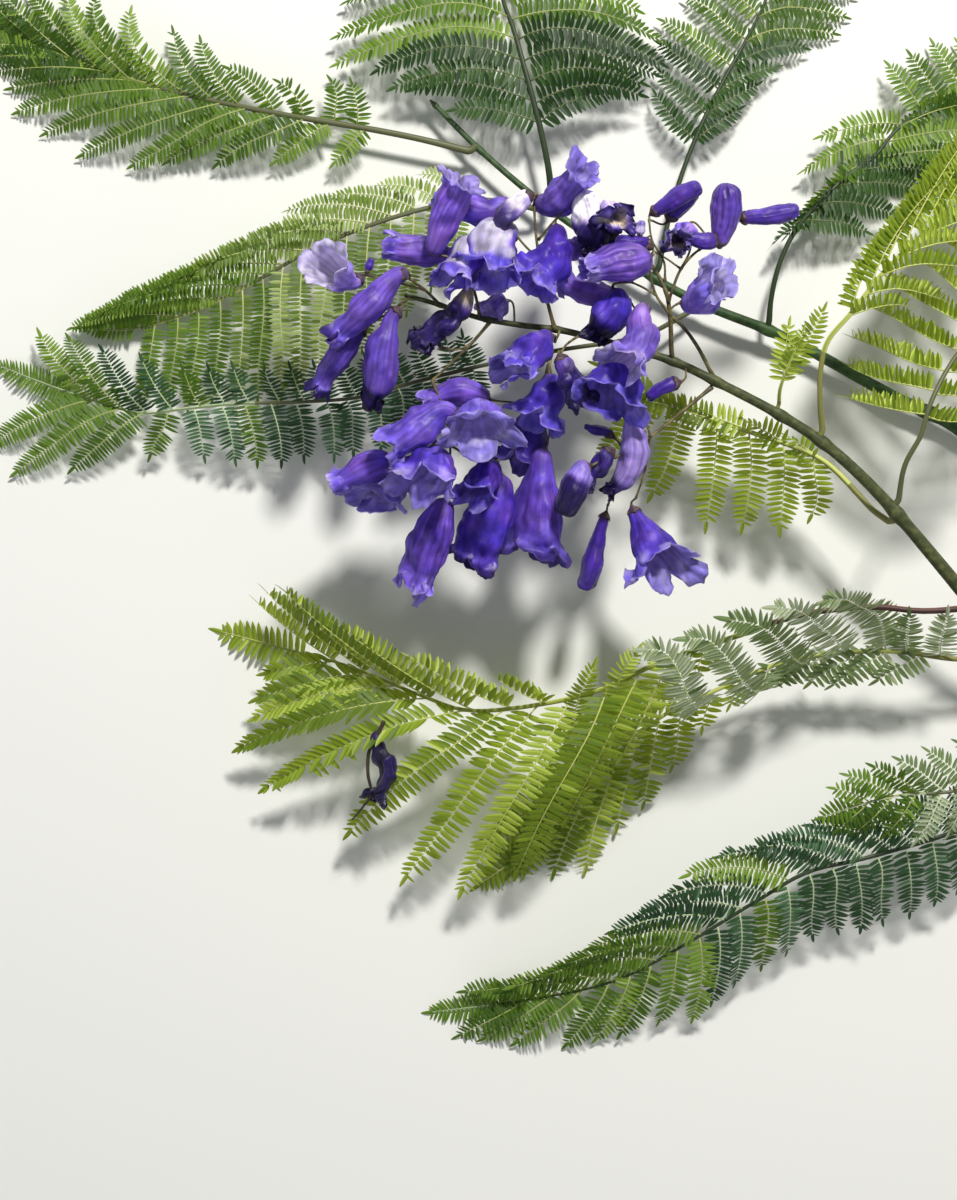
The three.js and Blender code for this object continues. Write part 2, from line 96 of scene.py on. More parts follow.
# ---------------------------------------------------------------- the plant
LIMBS = {
    "cut_stub": ([[1168, 850, 5.7], [1140, 820, 7.6], [1113, 790, 10.6]], 5.6, 4.7),
    "flowering_shoot": ([[1109.5, 785, 12], [1060, 715, 24], [1010, 650, 36], [957, 585, 46], [897, 514, 53],
                         [860, 475, 56], [822, 442, 58], [780, 415, 60], [715, 381, 62], [672, 361, 63],
                         [600, 340, 64], [560, 330, 64], [520, 325, 64], [480, 318, 63], [440, 305, 62],
                         [405, 295, 61]], 3.8, 0.9),
    "leafy_shoot": ([[1124, 780, 8], [1112, 700, 7.4], [1084, 600, 7], [1030, 500, 7], [957, 428, 8],
                     [900, 400, 9], [800, 345, 10], [768, 330, 11], [700, 303, 12], [640, 270, 12],
                     [590, 237, 12], [545, 205, 12], [480, 150, 11], [430, 100, 10]], 4.0, 1.1),
    "panicle_spur": ([[671.5, 351, 66], [671, 335, 69], [670, 315, 72], [666, 292, 74], [655, 270, 74],
                      [641, 255, 72]], 1.1, 0.7),
}
LEAVES = {
    "leaf_middle_long": dict(
        rib=[[980, 605, 50], [957, 609, 53], [920, 611, 54], [874, 607, 54], [800, 615, 56], [737, 636, 56],
             [656, 664, 52], [600, 690, 47], [530, 706, 40], [465, 710, 32], [420, 695, 26], [345, 665, 16],
             [290, 650, 8], [222, 632, 1]],
        a=[[0.1, 0, 2, 0, 0, 1], [0.33, -2, 3, 0, -1, 1], [0.36, -30, 50, -10, -14, 20], [0.42, -60, 120, -18, -28, 56],
           [0.47, -90, 180, -22, -40, 80], [0.52, -92, 194, -24, -40, 88], [0.56, -122, 180, -22, -56, 80],
           [0.59, -146, 180, -21, -68, 78], [0.63, -157, 112, -18, -76, 46], [0.67, -195, 76, -14, -98, 26],
           [0.71, -200, 54, -12, -98, 14], [0.76, -150, 34, -8, -74, 8], [0.86, -60, 10, -2, -30, 4], [1, -8, 2, 0, -4, 1]],
        b=[[0.1, 4, -3, 0, 2, -1], [0.14, 14, 4, 6, 7, 2], [0.3, 18, 8, 10, 9, 4], [0.45, 4, -4, 8, 2, -2],
           [0.56, -40, -20, 8, -16, -6], [0.6, -92, -40, 9, -42, -14], [0.65, -126, -74, 9, -58, -30],
           [0.71, -150, -108, 7, -80, -50], [0.79, -108, -86, 4, -60, -44], [0.88, -60, -40, 1, -30, -18],
           [1, -8, -2, 0, -4, -1]]),
    "leaf_middle_under": dict(
        rib=[[1011, 657, 28], [957, 659, 30], [889, 651, 31], [788, 661, 26], [712, 692, 21], [661, 717, 16],
             [618, 760, 11], [560, 813, 6], [526, 851, 3.4], [480, 884, 1]],
        a=[[0.08, 0, 4, 0, 0, 2], [0.12, -45, 22, -4, -22, 8], [0.2, -58, 34, -8, -28, 14], [0.28, -56, 30, -7, -28, 12],
           [0.36, -20, 22, -5, -10, 10], [0.43, -12, 22, -5, -6, 10], [0.5, -10, 34, -6, -5, 16], [0.55, -12, 60, -8, -7, 30],
           [0.6, -16, 84, -9, -9, 42], [0.65, -22, 90, -8, -12, 45], [0.7, -30, 104, -7, -18, 52], [0.78, -44, 74, -4, -24, 36],
           [0.88, -36, 36, -1, -19, 17], [1, -8, 6, 0, -4, 3]],
        b=[[0.08, 0, -4, 0, 0, -2], [0.14, -10, -34, 1, -5, -17], [0.3, -46, -38, 1, -23, -19], [0.45, -50, -30, 1, -25, -15],
           [0.5, -62, -6, 1, -31, -6], [0.55, -90, 4, 1, -46, -2], [0.6, -100, 12, 0, -52, 2], [0.65, -100, 24, 0, -52, 8],
           [0.75, -90, 34, 0, -46, 14], [0.85, -68, 26, 0, -35, 11], [1, -8, 0, 0, -4, 0]]),
    "leaf_lower_long": dict(
        rib=[[1077, 757, 16], [1030, 800, 22], [957, 831, 27], [862, 859, 30], [808, 872, 30], [755, 902, 27],
             [684, 945, 20], [617, 980, 12], [521, 1001, 4], [432, 1012, 1]],
        a=[[0.1, 0, 4, 0, 0, 2], [0.15, 0, 50, -8, 2, 24], [0.27, 4, 64, -12, 4, 30], [0.4, 6, 64, -14, 5, 30],
           [0.5, -4, 70, -14, 2, 34], [0.6, -6, 78, -12, 2, 38], [0.66, -26, 68, -10, -9, 34], [0.74, -38, 60, -8, -15, 30],
           [0.8, -74, 50, -4, -34, 24], [0.88, -66, 32, -2, -30, 15], [0.95, -38, 14, 0, -18, 7], [1, -8, 3, 0, -4, 2]],
        b=[[0.1, 0, -4, 0, 0, -2], [0.15, -38, -28, 4, -16, -18], [0.27, -78, -28, 7, -36, -22], [0.4, -94, -14, 7, -44, -18],
           [0.55, -108, 10, 5, -50, -6], [0.65, -112, 16, 3, -52, -2], [0.75, -96, 4, 2, -46, -6], [0.88, -60, -10, 0, -28, -9],
           [1, -8, -1, 0, -4, 0]]),
    "leaf_lower_short": dict(
        rib=[[1049, 712, 30], [1030, 735, 36], [1000, 765, 42], [957, 790, 46], [900, 795, 46], [850, 808, 43],
             [823, 817, 40]],
        a=[[0.15, 0, 4, 0], [0.2, 0, 22, -3], [0.45, -20, 50, -7], [0.75, -40, 36, -6], [1, -5, 4, 0]],
        b=[[0.15, 0, -4, 0], [0.2, -16, -24, 3], [0.45, -44, -36, 5], [0.75, -44, -18, 4], [1, -8, -1, 0]]),
    "leaf_bright_upper": dict(
        rib=[[822.5, 430.5, 60], [820, 399, 66], [821, 367, 70], [828, 341, 72], [853, 311, 72], [882, 274, 68],
             [910, 246, 60], [957, 206, 46], [1000, 165, 32], [1030, 130, 20]],
        a=[[0.24, -3, -2, 0, -1, -1], [0.3, 30, -66, -4, 8, -36], [0.4, 74, -112, -12, 30, -62], [0.52, 84, -140, -22, 36, -74],
           [0.66, 72, -104, -20, 32, -56], [0.82, 44, -70, -10, 20, -38], [0.94, 18, -32, -4, 8, -17], [1, 0, -8, 0, 0, -4]],
        b=[[0.24, 3, 1, 0, 1, 0], [0.3, 52, -14, 0, 28, -10], [0.38, 76, 4, -2, 40, -6], [0.5, 106, -18, -8, 52, -16],
           [0.6, 116, -32, -12, 58, -24], [0.75, 88, -38, -8, 44, -24], [0.9, 44, -28, -3, 22, -16], [1, 6, -6, 0, 3, -3]]),
    "leaf_right_edge": dict(
        rib=[[898.5, 500, 55.5], [905, 465, 62], [921, 435, 66], [930, 405, 67], [950, 365, 63], [985, 320, 54],
             [1020, 275, 40], [1050, 235, 26]],
        a=[[0.2, -4, 0, 0], [0.26, -70, -12, -14], [0.42, -95, -30, -25], [0.62, -90, -58, -25], [0.85, -50, -58, -9],
           [1, -2, -8, 0]],
        b=[[0.2, 4, 0, 0], [0.26, 52, 8, -5], [0.42, 90, 0, -12], [0.62, 95, -30, -13], [0.85, 60, -40, -6],
           [1, 6, -4, 0]]),
    "leaf_under_panicle": dict(
        rib=[[888, 521, 48], [874, 511, 44], [822, 460, 40], [750, 432, 36], [700, 415, 33], [660, 395, 30],
             [640, 384, 29], [600, 366, 27]],
        a=[[0.2, 0, 4, 0], [0.26, 0, 52, -7], [0.42, -4, 90, -11], [0.6, -8, 104, -12], [0.7, -30, 92, -10],
           [0.78, -52, 72, -9], [0.88, -50, 44, -5], [0.95, -24, 20, -2], [1, -8, 4, 0]],
        b=[[0.2, 0, -4, 0], [0.26, -26, -20, -3], [0.42, -52, -26, -4], [0.6, -70, -20, -5], [0.76, -66, -10, -4],
           [0.9, -40, -8, -2], [1, -8, -1, 0]]),
    "leaf_young": dict(
        rib=[[779, 404, 61], [780, 390, 66], [785, 374, 70], [794, 352, 74]],
        a=[[0.2, -2, 0, 0], [0.6, -8, -22, 1], [0.9, -8, -26, 1], [1, -6, -26, 1]],
        b=[[0.2, 2, 0, 0], [0.6, 14, -14, 1], [0.85, 28, -32, 2], [1, 30, -42, 3]]),
    "leaf_rear_left": dict(
        rib=[[468.5, 151, 11], [420, 139, 12], [375, 130, 12], [280, 114, 11], [205, 99, 9], [135, 81, 7],
             [70, 59, 5], [25, 39, 3], [0, 24, 1.8], [-22, 12, 1]],
        a=[[0.1, 0, -4, 0, 0, -2], [0.19, -12, -41, 3, -3, -22], [0.25, 2, -41, 3, 4, -20], [0.31, -14, -36, 3, -3, -20],
           [0.37, -46, -38, 3, -18, -26], [0.435, -38, -60, 3, -24, -28], [0.5, -41, -68, 2, -28, -31],
           [0.56, -57, -79, 2, -45, -36], [0.62, -61, -86, 1, -50, -46], [0.685, -66, -88, 1, -48, -48],
           [0.74, -72, -78, 0, -46, -44], [0.8, -66, -60, 0, -44, -36], [0.88, -44, -38, 0, -28, -22],
           [0.95, -22, -18, 0, -12, -10], [1, -5, -1, 0, -2, 0]],
        b=[[0.1, 0, 4, 0, 0, 2], [0.2, -30, 33, -2, -14, 15], [0.26, -48, 36, -3, -24, 16], [0.32, -85, 44, -4, -40, 19],
           [0.38, -110, 47, -5, -52, 20], [0.445, -115, 58, -5, -56, 26], [0.51, -145, 46, -5, -68, 18],
           [0.575, -156, 35, -5, -76, 13], [0.63, -140, 14, -4, -72, 3], [0.69, -118, 3, -4, -58, -2],
           [0.75, -98, -3, -3, -48, -3], [0.82, -72, -8, -2, -36, -6], [0.9, -42, -8, -1, -20, -5],
           [0.96, -20, -5, 0, -10, -3], [1, -5, 1, 0, -2, 0]]),
    "leaf_mid_left": dict(
        rib=[[536.5, 209, 12.5], [505, 202, 17], [470, 200, 20], [432, 207, 21], [395, 217, 22], [347, 234, 22],
             [300, 256, 21], [267, 275, 19], [230, 295, 16], [195, 311, 13], [160, 323, 9], [122, 330, 5], [86, 328, 2]],
        a=[[0.08, 0, 4, 0, 0, 2], [0.14, -5, 60, -4, -2, 30], [0.3, -8, 110, -8, -3, 55], [0.5, -6, 142, -10, -2, 70],
           [0.6, -5, 128, -10, 0, 64], [0.66, -6, 110, -9, 0, 54], [0.75, -10, 98, -7, -2, 48], [0.83, -13, 84, -5, -4, 42],
           [0.9, -17, 62, -3, -6, 32], [0.95, -15, 34, -1, -6, 18], [1, -6, 4, 0, -3, 2]],
        b=[[0.08, 0, -4, 0, 0, -2], [0.14, -40, -26, 1, -16, -20], [0.3, -108, -8, 0, -56, -12], [0.37, -138, 34, -3, -70, 2],
           [0.45, -145, 42, -4, -72, 4], [0.53, -150, 40, -5, -74, 5], [0.6, -160, 36, -6, -80, 6],
           [0.66, -160, 30, -6, -82, 6], [0.74, -130, 20, -5, -66, 3], [0.82, -96, 8, -4, -50, -2],
           [0.9, -60, -4, -2, -30, -6], [0.96, -28, -8, 0, -14, -6], [1, -8, -2, 0, -4, -1]]),
    "leaf_dark_left": dict(
        rib=[[691, 311, 11], [645, 335, 14], [560, 350, 17], [480, 366, 20], [400, 386, 22], [361, 397, 22],
             [300, 402, 21], [233, 404, 19], [184, 409, 17], [140, 413, 13], [92, 400, 9], [40, 382, 5], [0, 366, 2]],
        a=[[0.24, 0, 4, 0, 0, 2], [0.3, -2, 50, -2, 2, 24], [0.48, 8, 52, -3, 8, 24], [0.57, 8, 54, -4, 7, 26],
           [0.66, 14, 56, -4, 10, 28], [0.72, 10, 46, -5, 7, 24], [0.76, -24, 44, -6, -10, 22],
           [0.8, -92, 62, -7, -42, 24], [0.84, -108, 60, -7, -52, 22], [0.88, -92, 34, -5, -46, 14],
           [0.93, -56, 22, -3, -28, 10], [1, -6, 4, 0, -3, 2]],
        b=[[0.24, 0, -4, 0, 0, -2], [0.3, -12, -28, 5, -8, -16], [0.5, -14, -32, 6, -9, -18], [0.7, -16, -34, 5, -10, -18],
           [0.76, -34, -52, 3, -20, -26], [0.82, -58, -72, 1, -34, -34], [0.88, -56, -56, 0, -32, -26],
           [0.94, -38, -40, 0, -20, -20], [1, -6, -4, 0, -3, -2]]),
    "leaf_rear_top": dict(
        rib=[[551, 196, 12.5], [549, 172, 16], [540, 127, 18], [525, 70, 18], [513, 28, 15], [503, 0, 11],
             [497, -40, 5], [494, -70, 1]],
        a=[[0.16, -4, 0, 0, -2, 0], [0.24, -74, -10, -1, -36, -8], [0.325, -106, -20, -2, -50, -17], [0.42, -132, 6, -3, -66, -10],
           [0.51, -152, 10, -4, -76, -12], [0.61, -178, 28, -5, -84, -5], [0.7, -176, 16, -5, -82, -10],
           [0.79, -140, -8, -4, -70, -16], [0.88, -88, -28, -2, -46, -20], [1, -2, -8, 0, -1, -4]],
        b=[[0.16, 4, 0, 0, 2, 0], [0.24, 54, -37, 0, 18, -20], [0.34, 108, -10, -2, 50, -18], [0.42, 116, 0, -3, 55, -14],
           [0.51, 138, 14, -4, 62, -10], [0.61, 156, 28, -5, 68, -8], [0.7, 154, 22, -5, 70, -8], [0.79, 120, 0, -4, 58, -14],
           [0.88, 80, -22, -2, 40, -18], [1, 2, -8, 0, 1, -4]]),
    "leaf_rear_mid": dict(
        rib=[[659, 267, 14], [668, 222, 13], [677, 189, 12], [690, 152, 11], [705, 117, 10], [727, 74, 8], [745, 42, 6],
             [764, 4, 5], [778, -36, 3], [786, -66, 1]],
        a=[[0.28, -4, 0, 0, -2, 0], [0.34, -34, -44, -1, -20, -20], [0.6, -66, -44, -2, -32, -24], [0.85, -50, -40, -1, -24, -20],
           [1, 0, -8, 0, 0, -4]],
        b=[[0.28, 4, 0, 0, 2, 0], [0.34, 40, -30, -1, 18, -14], [0.46, 54, -32, -1, 24, -16], [0.58, 68, -20, -1, 30, -16],
           [0.68, 88, -8, -2, 38, -12], [0.8, 92, 4, -2, 40, -9], [0.9, 66, -8, -1, 32, -10], [1, 4, -8, 0, 2, -4]]),
    "leaf_rear_right": dict(
        rib=[[769, 322, 13], [771, 300, 16], [779, 265, 18], [797, 228, 18], [820, 202, 18], [847, 176, 16], [875, 156, 14],
             [890, 137, 13], [905, 123, 12], [957, 105, 8], [1000, 80, 4], [1035, 55, 1]],
        a=[[0.18, -4, 0, 0, -2, 0], [0.26, -34, 26, -4, -16, 10], [0.43, -40, 48, -6, -18, 20], [0.51, -78, 68, -7, -40, 26],
           [0.57, -86, 32, -4, -42, 10], [0.62, -78, 12, -2, -38, 2], [0.68, -34, -50, 0, -14, -22], [0.78, -32, -56, 0, -14, -26],
           [0.9, -20, -36, 0, -9, -17], [1, 0, -8, 0, 0, -4]],
        b=[[0.18, 4, 0, 0, 2, 0], [0.26, 60, 12, -5, 28, 2], [0.43, 104, 6, -8, 50, -4], [0.55, 106, -4, -8, 52, -8],
           [0.62, 70, -30, -5, 34, -18], [0.75, 74, -36, -4, 34, -20], [0.9, 46, -26, -1, 22, -14], [1, 6, -4, 0, 3, -2]]),
}
# The blossom. p: points of each flower's middle line from its foot to its mouth, w: half width in mm at those points,
# L: length of the five lobes, b: how far each lobe turns outward in degrees (two upper, side, lower, side).
FLOWERS = {
    "bloom_01": dict(k="bell", p=[[363, 276, 66], [355, 281, 66.5], [345, 279, 68], [335, 272, 71], [327, 266, 76]],
                     w=[2.4, 3.0, 5.4, 7.6, 8.6], L=[5, 6, 5, 4.5, 5.5], b=[70, 55, 45, 35, 55], pale=0.5,
                     throat=1.0, squash=0.05, inside=1.0,
                     glow=1.0),
    "bloom_02": dict(k="bell", p=[[408, 274, 72], [399, 275, 72], [389, 283, 71], [374, 300, 70], [357, 317, 68],
                                  [345, 327, 66]],
                     w=[2.8, 3.2, 4.4, 6.6, 7.4, 7.4], L=[9, 8, 8, 9, 7], b=[35, 60, 75, 30, 100], warm=0.2, blue=0.25,
                     tip=0.55, tipfrom=1.1),
    "bloom_03": dict(k="bell", p=[[366, 328, 58], [358, 333, 58], [346, 347, 57], [332, 366, 55], [322, 382, 53]],
                     w=[2.4, 2.9, 4.8, 6.0, 5.8], L=[6, 6, 6, 7, 6], b=[60, 90, 70, 50, 80], pale=0.15, deep=0.15,
                     tip=0.85, tipfrom=1.06),
    "bloom_04": dict(k="bell", p=[[400, 309, 66], [393, 316, 66], [388, 331, 66], [383, 350, 65], [379, 374, 63],
                                  [373, 394, 60]],
                     w=[2.6, 2.9, 3.5, 6.6, 7.8, 5.4], L=[6, 7, 6, 7, 5], b=[10, -35, 50, 0, -30], tip=0.95, crumple=1.3,
                     flat=0.9, deep=0.2),
    "bloom_05": dict(k="bell", p=[[431, 254, 76], [435, 246, 77], [443, 226, 78], [452, 204, 80], [459, 187, 82]],
                     w=[3.2, 4.0, 5.4, 6.3, 6.7], L=[7, 8, 7, 8, 7], b=[125, 140, 110, 60, 120], ribs=1.6, warm=0.35,
                     pale=0.12, ruffle=1.5,
                     glow=0.45),
    "bloom_06": dict(k="bell", p=[[511, 207, 62], [501, 206, 62], [489, 212, 62], [474, 209, 61], [459, 202, 60],
                                  [447, 197, 60]],
                     w=[3.0, 3.9, 5.0, 6.2, 6.4, 6.6], L=[6, 7, 6, 7, 6], b=[80, 100, 70, 40, 70], pale=0.15),
    "bloom_07": dict(k="bell", p=[[455, 257, 64], [446, 255, 64], [431, 252, 64], [413, 249, 62], [400, 247, 61]],
                     w=[2.6, 3.2, 5.4, 6.4, 6.0], L=[9, 7, 6, 7, 6], b=[15, 60, 50, 20, 70], ruffle=1.3, warm=0.3),
    "bloom_08": dict(k="bell", p=[[489, 238, 72], [481, 243, 73], [472, 250, 75], [463, 260, 77], [457, 270, 79]],
                     w=[2.6, 4.2, 6.2, 7.4, 7.6], L=[7, 7, 9, 11, 9], b=[60, 45, 50, 15, 55], top=1.0, crumple=1.5,
                     ruffle=1.4),
    "bloom_09": dict(k="bell", p=[[512, 241, 72], [508, 234, 74], [501, 235, 77], [494, 245, 80], [490, 257, 82]],
                     w=[2.8, 4.4, 7.2, 8.8, 9.4], L=[8, 8, 11, 13, 11], b=[85, 70, 60, 20, 60], top=1.0, blue=0.5,
                     deep=0.25, crumple=1.7, stamen=True, ruffle=1.4),
    "bloom_10": dict(k="wilt", p=[[533, 195, 84], [527, 197, 84], [516, 206, 84], [505, 217, 82], [498, 227, 80]],
                     w=[2, 3.2, 4.6, 5.0, 3.4], L=[5, 4, 4, 6, 4], b=[-30, 10, 40, -40, 60], pale=0.8, tipfrom=0.42, tip=0.72, top=1.0,
                     toplow=0.5, topwide=0.2),
    "bloom_11": dict(k="wilt", p=[[470, 283, 72], [468, 291, 72], [464, 302, 71], [455, 315, 70], [441, 326, 68],
                                  [429, 333, 66]],
                     w=[1.6, 2.1, 4.0, 5.0, 4.6, 4.2], L=[9, 8, 6, 8, 6], b=[10, 40, 70, -10, 80], dark=0.95, ink=0.3, foot=0.9),
    "bloom_12": dict(k="bell", p=[[537, 198, 70], [546, 204, 71], [557, 200, 73], [569, 188, 76], [579, 177, 79]],
                     w=[3, 4.8, 7.0, 7.4, 8.0], L=[7, 8, 6, 6, 7], b=[100, 115, 80, 50, 80], pale=0.25, warm=0.2, ribs=1.4),
    "bloom_13": dict(k="wilt", p=[[582, 192, 76], [585, 201, 77], [590, 214, 78], [594, 229, 77], [597, 241, 75]],
                     w=[3, 6.0, 7.2, 7.4, 6.4], L=[5, 5, 6, 6, 5], b=[-20, 0, 30, 0, -30], pale=0.95, tipfrom=0.5, tip=1.0,
                     top=1.0, toplow=0.56, topwide=0.75, crumple=1.0),
    "bloom_14": dict(k="bell", p=[[556, 225, 75], [557, 236, 76], [555, 249, 78], [549, 261, 80], [541, 270, 81]],
                     w=[2.8, 4.0, 5.8, 7.8, 8.4], L=[8, 8, 9, 10, 9], b=[70, 50, 55, 20, 55], deep=0.3, crumple=1.7,
                     stamen=True, ruffle=1.5),
    "bloom_15": dict(k="bell", p=[[651, 256, 84], [643, 259, 84.5], [630, 262, 85], [612, 263, 86], [597, 266, 87]],
                     w=[3, 6.0, 7.8, 8.0, 7.4], L=[7, 6, 6, 8, 6], b=[0, 20, 45, 10, 40], ribs=2.6, warm=0.3, pale=0.1),
    "bloom_16": dict(k="bell", p=[[627, 298, 66], [615, 298, 66], [600, 296, 66], [584, 292, 65], [571, 286, 64]],
                     w=[2.2, 3.8, 5.6, 6.2, 6.2], L=[7, 8, 6, 7, 6], b=[60, 90, 50, 30, 60], warm=0.55),
    "bloom_17": dict(k="bell", p=[[613, 289, 77], [616, 297, 77], [614, 309, 77], [607, 321, 76], [600, 331, 75]],
                     w=[2.6, 4.8, 7.4, 7.8, 6.6], L=[6, 5, 6, 6, 6], b=[-10, -35, 40, 0, 30], blue=0.7, deep=0.3, tipfrom=0.74,
                     tip=0.95),
    "bloom_18": dict(k="bud", p=[[651, 214, 78], [659, 209, 79], [671, 202, 80], [682, 195, 81], [693, 190, 82]],
                     w=[1.9, 2.8, 4.1, 4.6, 4.0], deep=0.8, warm=0.25),
    "bloom_19": dict(k="wilt", p=[[690, 224, 76], [687, 230, 77], [682, 236, 79], [679, 240, 82]],
                     w=[2.6, 4.4, 4.6, 4.0], L=[7, 6, 7, 6, 7], b=[70, 95, 60, 100, 80], dark=0.25, pale=0.3,
                     throat=1.2, inside=0.8, tip=0.95, tipfrom=1.12, rim=0.8),
    "bloom_20": dict(k="bud", p=[[720, 247, 76], [721, 238, 77], [724, 222, 79], [726, 208, 81], [727, 197, 82]],
                     w=[2.8, 4.0, 5.7, 6.5, 6.0], ribs=2.4, warm=0.3, flat=0.8),
    "bloom_21": dict(k="bud", p=[[739, 219, 72], [750, 217, 72], [766, 216, 72], [780, 214, 72], [791, 212, 72]],
                     w=[2.0, 3.1, 3.9, 4.4, 4.0], ribs=1.8, warm=0.25, deep=0.5),
    "bloom_22": dict(k="bell", p=[[681, 303, 70], [688, 303, 71], [697, 300, 73], [706, 294, 77], [712, 286, 81]],
                     w=[2.6, 4.2, 6.4, 8.0, 8.6], L=[12, 9, 9, 9, 11], b=[25, 40, 70, 60, 55], pale=0.1, blue=0.5,
                     stamen=True, ruffle=1.4, crumple=1.3, inside=0.9, throat=1.0,
                     glow=0.55),
    "bloom_23": dict(k="bell", p=[[649, 309, 80], [643, 311, 81], [640, 323, 82], [641, 337, 84], [636, 349, 86],
                                  [628, 357, 88]],
                     w=[2.6, 3.4, 4.6, 6.6, 8.2, 9.0], L=[9, 9, 10, 10, 8], b=[45, 60, 70, 35, 60], pale=0.16, top=0.1, warm=0.3, own=0.0,
                     throat=1.0, inside=1.0, crumple=1.2, ruffle=1.3,
                     glow=0.75),
    "bloom_24": dict(k="bell", p=[[612, 369, 74], [613, 376, 76], [613, 386, 79], [611, 395, 82]],
                     w=[4.8, 8.2, 10.6, 11.2], L=[6, 6, 8, 9, 8], b=[75, 60, 40, 5, 40], blue=0.9, deep=0.45, squash=0.3,
                     inside=0.35, throat=0.4, crumple=1.2),
    "bloom_25": dict(k="bell", p=[[553, 336, 72], [547, 338, 72], [539, 345, 74], [529, 353, 76], [520, 361, 78]],
                     w=[2.6, 3.8, 6.6, 9.0, 9.6], L=[8, 8, 9, 12, 10], b=[40, 30, 50, 20, 60], throat=0.9, blue=0.5, deep=0.5, own=0.0,
                     inside=0.9, crumple=1.3, ruffle=1.3,
                     glow=0.45),
    "bloom_26": dict(k="wilt", p=[[559, 355, 82], [563, 363, 82], [569, 375, 81], [576, 388, 80], [581, 397, 79]],
                     w=[1.6, 3.8, 5.4, 5.6, 4.6], L=[6, 5, 6, 5, 6], b=[-20, 50, 10, -40, 60], dark=0.9, ink=0.25, top=0.5, toplow=0.35),
    "bloom_27": dict(k="bell", p=[[549, 374, 64], [550, 382, 64], [547, 395, 65], [541, 408, 66]],
                     w=[3.0, 4.6, 6.8, 7.4], L=[9, 9, 9, 11, 9], b=[50, 60, 60, 30, 60], blue=0.6, deep=0.3),
    "bloom_28": dict(k="bell", p=[[531, 411, 48], [530, 420, 48], [527, 435, 49], [523, 450, 50]],
                     w=[3, 5.2, 7.6, 8.6], L=[8, 8, 9, 10, 9], b=[60, 40, 60, 20, 60], deep=0.35, blue=0.3, dark=0.25),
    "bloom_29": dict(k="bell", p=[[478, 404, 76], [478, 409, 78], [479, 417, 82], [480, 426, 87]],
                     w=[3.0, 5.4, 8.4, 9.6], L=[9, 9, 11, 12, 11], b=[95, 85, 75, 40, 80], throat=1.0, blue=0.5,
                     stamen=True, pale=0.22, ruffle=1.3, inside=0.8, squash=0.22, glow=0.3),
    "bloom_30": dict(k="bell", p=[[489, 399, 58], [480, 395, 58], [466, 392, 57], [450, 394, 56], [436, 399, 55]],
                     w=[2.6, 3.8, 5.8, 6.4, 6.2], L=[8, 7, 7, 10, 7], b=[30, 60, 60, 30, 60], warm=0.5),
    "bloom_31": dict(k="bell", p=[[453, 417, 80], [448, 411, 81], [439, 412, 81], [425, 423, 80], [411, 433, 79],
                                  [400, 440, 78]],
                     w=[2.8, 3.4, 4.8, 8.0, 9.4, 9.6], L=[8, 8, 9, 10, 8], b=[80, 100, 60, 20, 60], ribs=1.4, warm=0.2, blue=0.2),
    "bloom_32": dict(k="bell", p=[[391, 460, 70], [382, 461, 70], [371, 464, 69], [358, 471, 68], [346, 478, 67]],
                     w=[2.8, 4.4, 6.0, 6.6, 6.2], L=[8, 7, 6, 8, 6], b=[20, 55, 50, 10, 60], warm=0.2, ruffle=1.3),
    "bloom_33": dict(k="bell", p=[[399, 476, 48], [394, 480, 49], [388, 486, 51], [382, 492, 54]],
                     w=[3.4, 5.6, 8.0, 8.8], L=[9, 10, 9, 11, 9], b=[70, 60, 60, 35, 60], pale=0.25, blue=0.3),
    "bloom_34": dict(k="bell", p=[[440, 450, 77], [437, 457, 79], [432, 466, 82], [427, 475, 85]],
                     w=[3.2, 6.0, 9.2, 10.4], L=[8, 8, 11, 13, 11], b=[75, 60, 55, 20, 60], throat=0.8, crumple=1.3,
                     inside=0.6, squash=0.3,
                     glow=0.3),
    "bloom_35": dict(k="bell", p=[[446, 499, 66], [443, 507, 66], [437, 523, 66], [429, 543, 65], [421, 562, 63],
                                  [417, 573, 62]],
                     w=[3.2, 4.8, 7.0, 8.8, 9.2, 9.0], L=[8, 7, 6, 13, 6], b=[40, 60, 60, 6, 30], ribs=2.8, warm=0.45,
                     flat=0.72),
    "bloom_36": dict(k="bell", p=[[502, 475, 62], [500, 484, 62], [494, 502, 61], [486, 522, 60], [479, 542, 58],
                                  [475, 553, 57]],
                     w=[3, 5.6, 8.8, 9.8, 9.0, 8.4], L=[6, 8, 9, 8, 6], b=[-10, 40, -20, 10, 70], ribs=1.6, rim=0.5,
                     flat=0.7, crumple=1.4,
                     tip=0.75, tipfrom=1.1),
    "bloom_37": dict(k="bell", p=[[545, 449, 58], [542, 457, 58], [541, 471, 58], [539, 493, 57], [535, 517, 55.5],
                                  [532, 538, 54]],
                     w=[3.2, 4.2, 5.0, 8.2, 11.6, 13.2], L=[9, 9, 10, 11, 9], b=[60, 85, 75, 30, 85], warm=0.1,
                     pale=0.1, flat=0.8, crumple=1.2,
                     tip=0.6, tipfrom=1.12),
    "bloom_38": dict(k="bud", p=[[591, 466, 74], [585, 469, 74], [578, 480, 74], [572, 493, 74], [567, 505, 74]],
                     w=[2.6, 4.8, 6.0, 6.2, 5.4], pale=0.35, tipfrom=0.38, tip=0.95),
    "bloom_39": dict(k="bell", p=[[642, 418, 68], [636, 418, 68], [633, 430, 68], [635, 448, 67], [632, 464, 66],
                                  [623, 478, 64], [615, 486, 63]],
                     w=[2.6, 3.1, 4.2, 6.4, 6.6, 5.6, 4.2], L=[6, 5, 6, 5, 6], b=[-20, 30, 50, -30, 60], pale=0.6, tip=0.95,
                     flat=0.8),
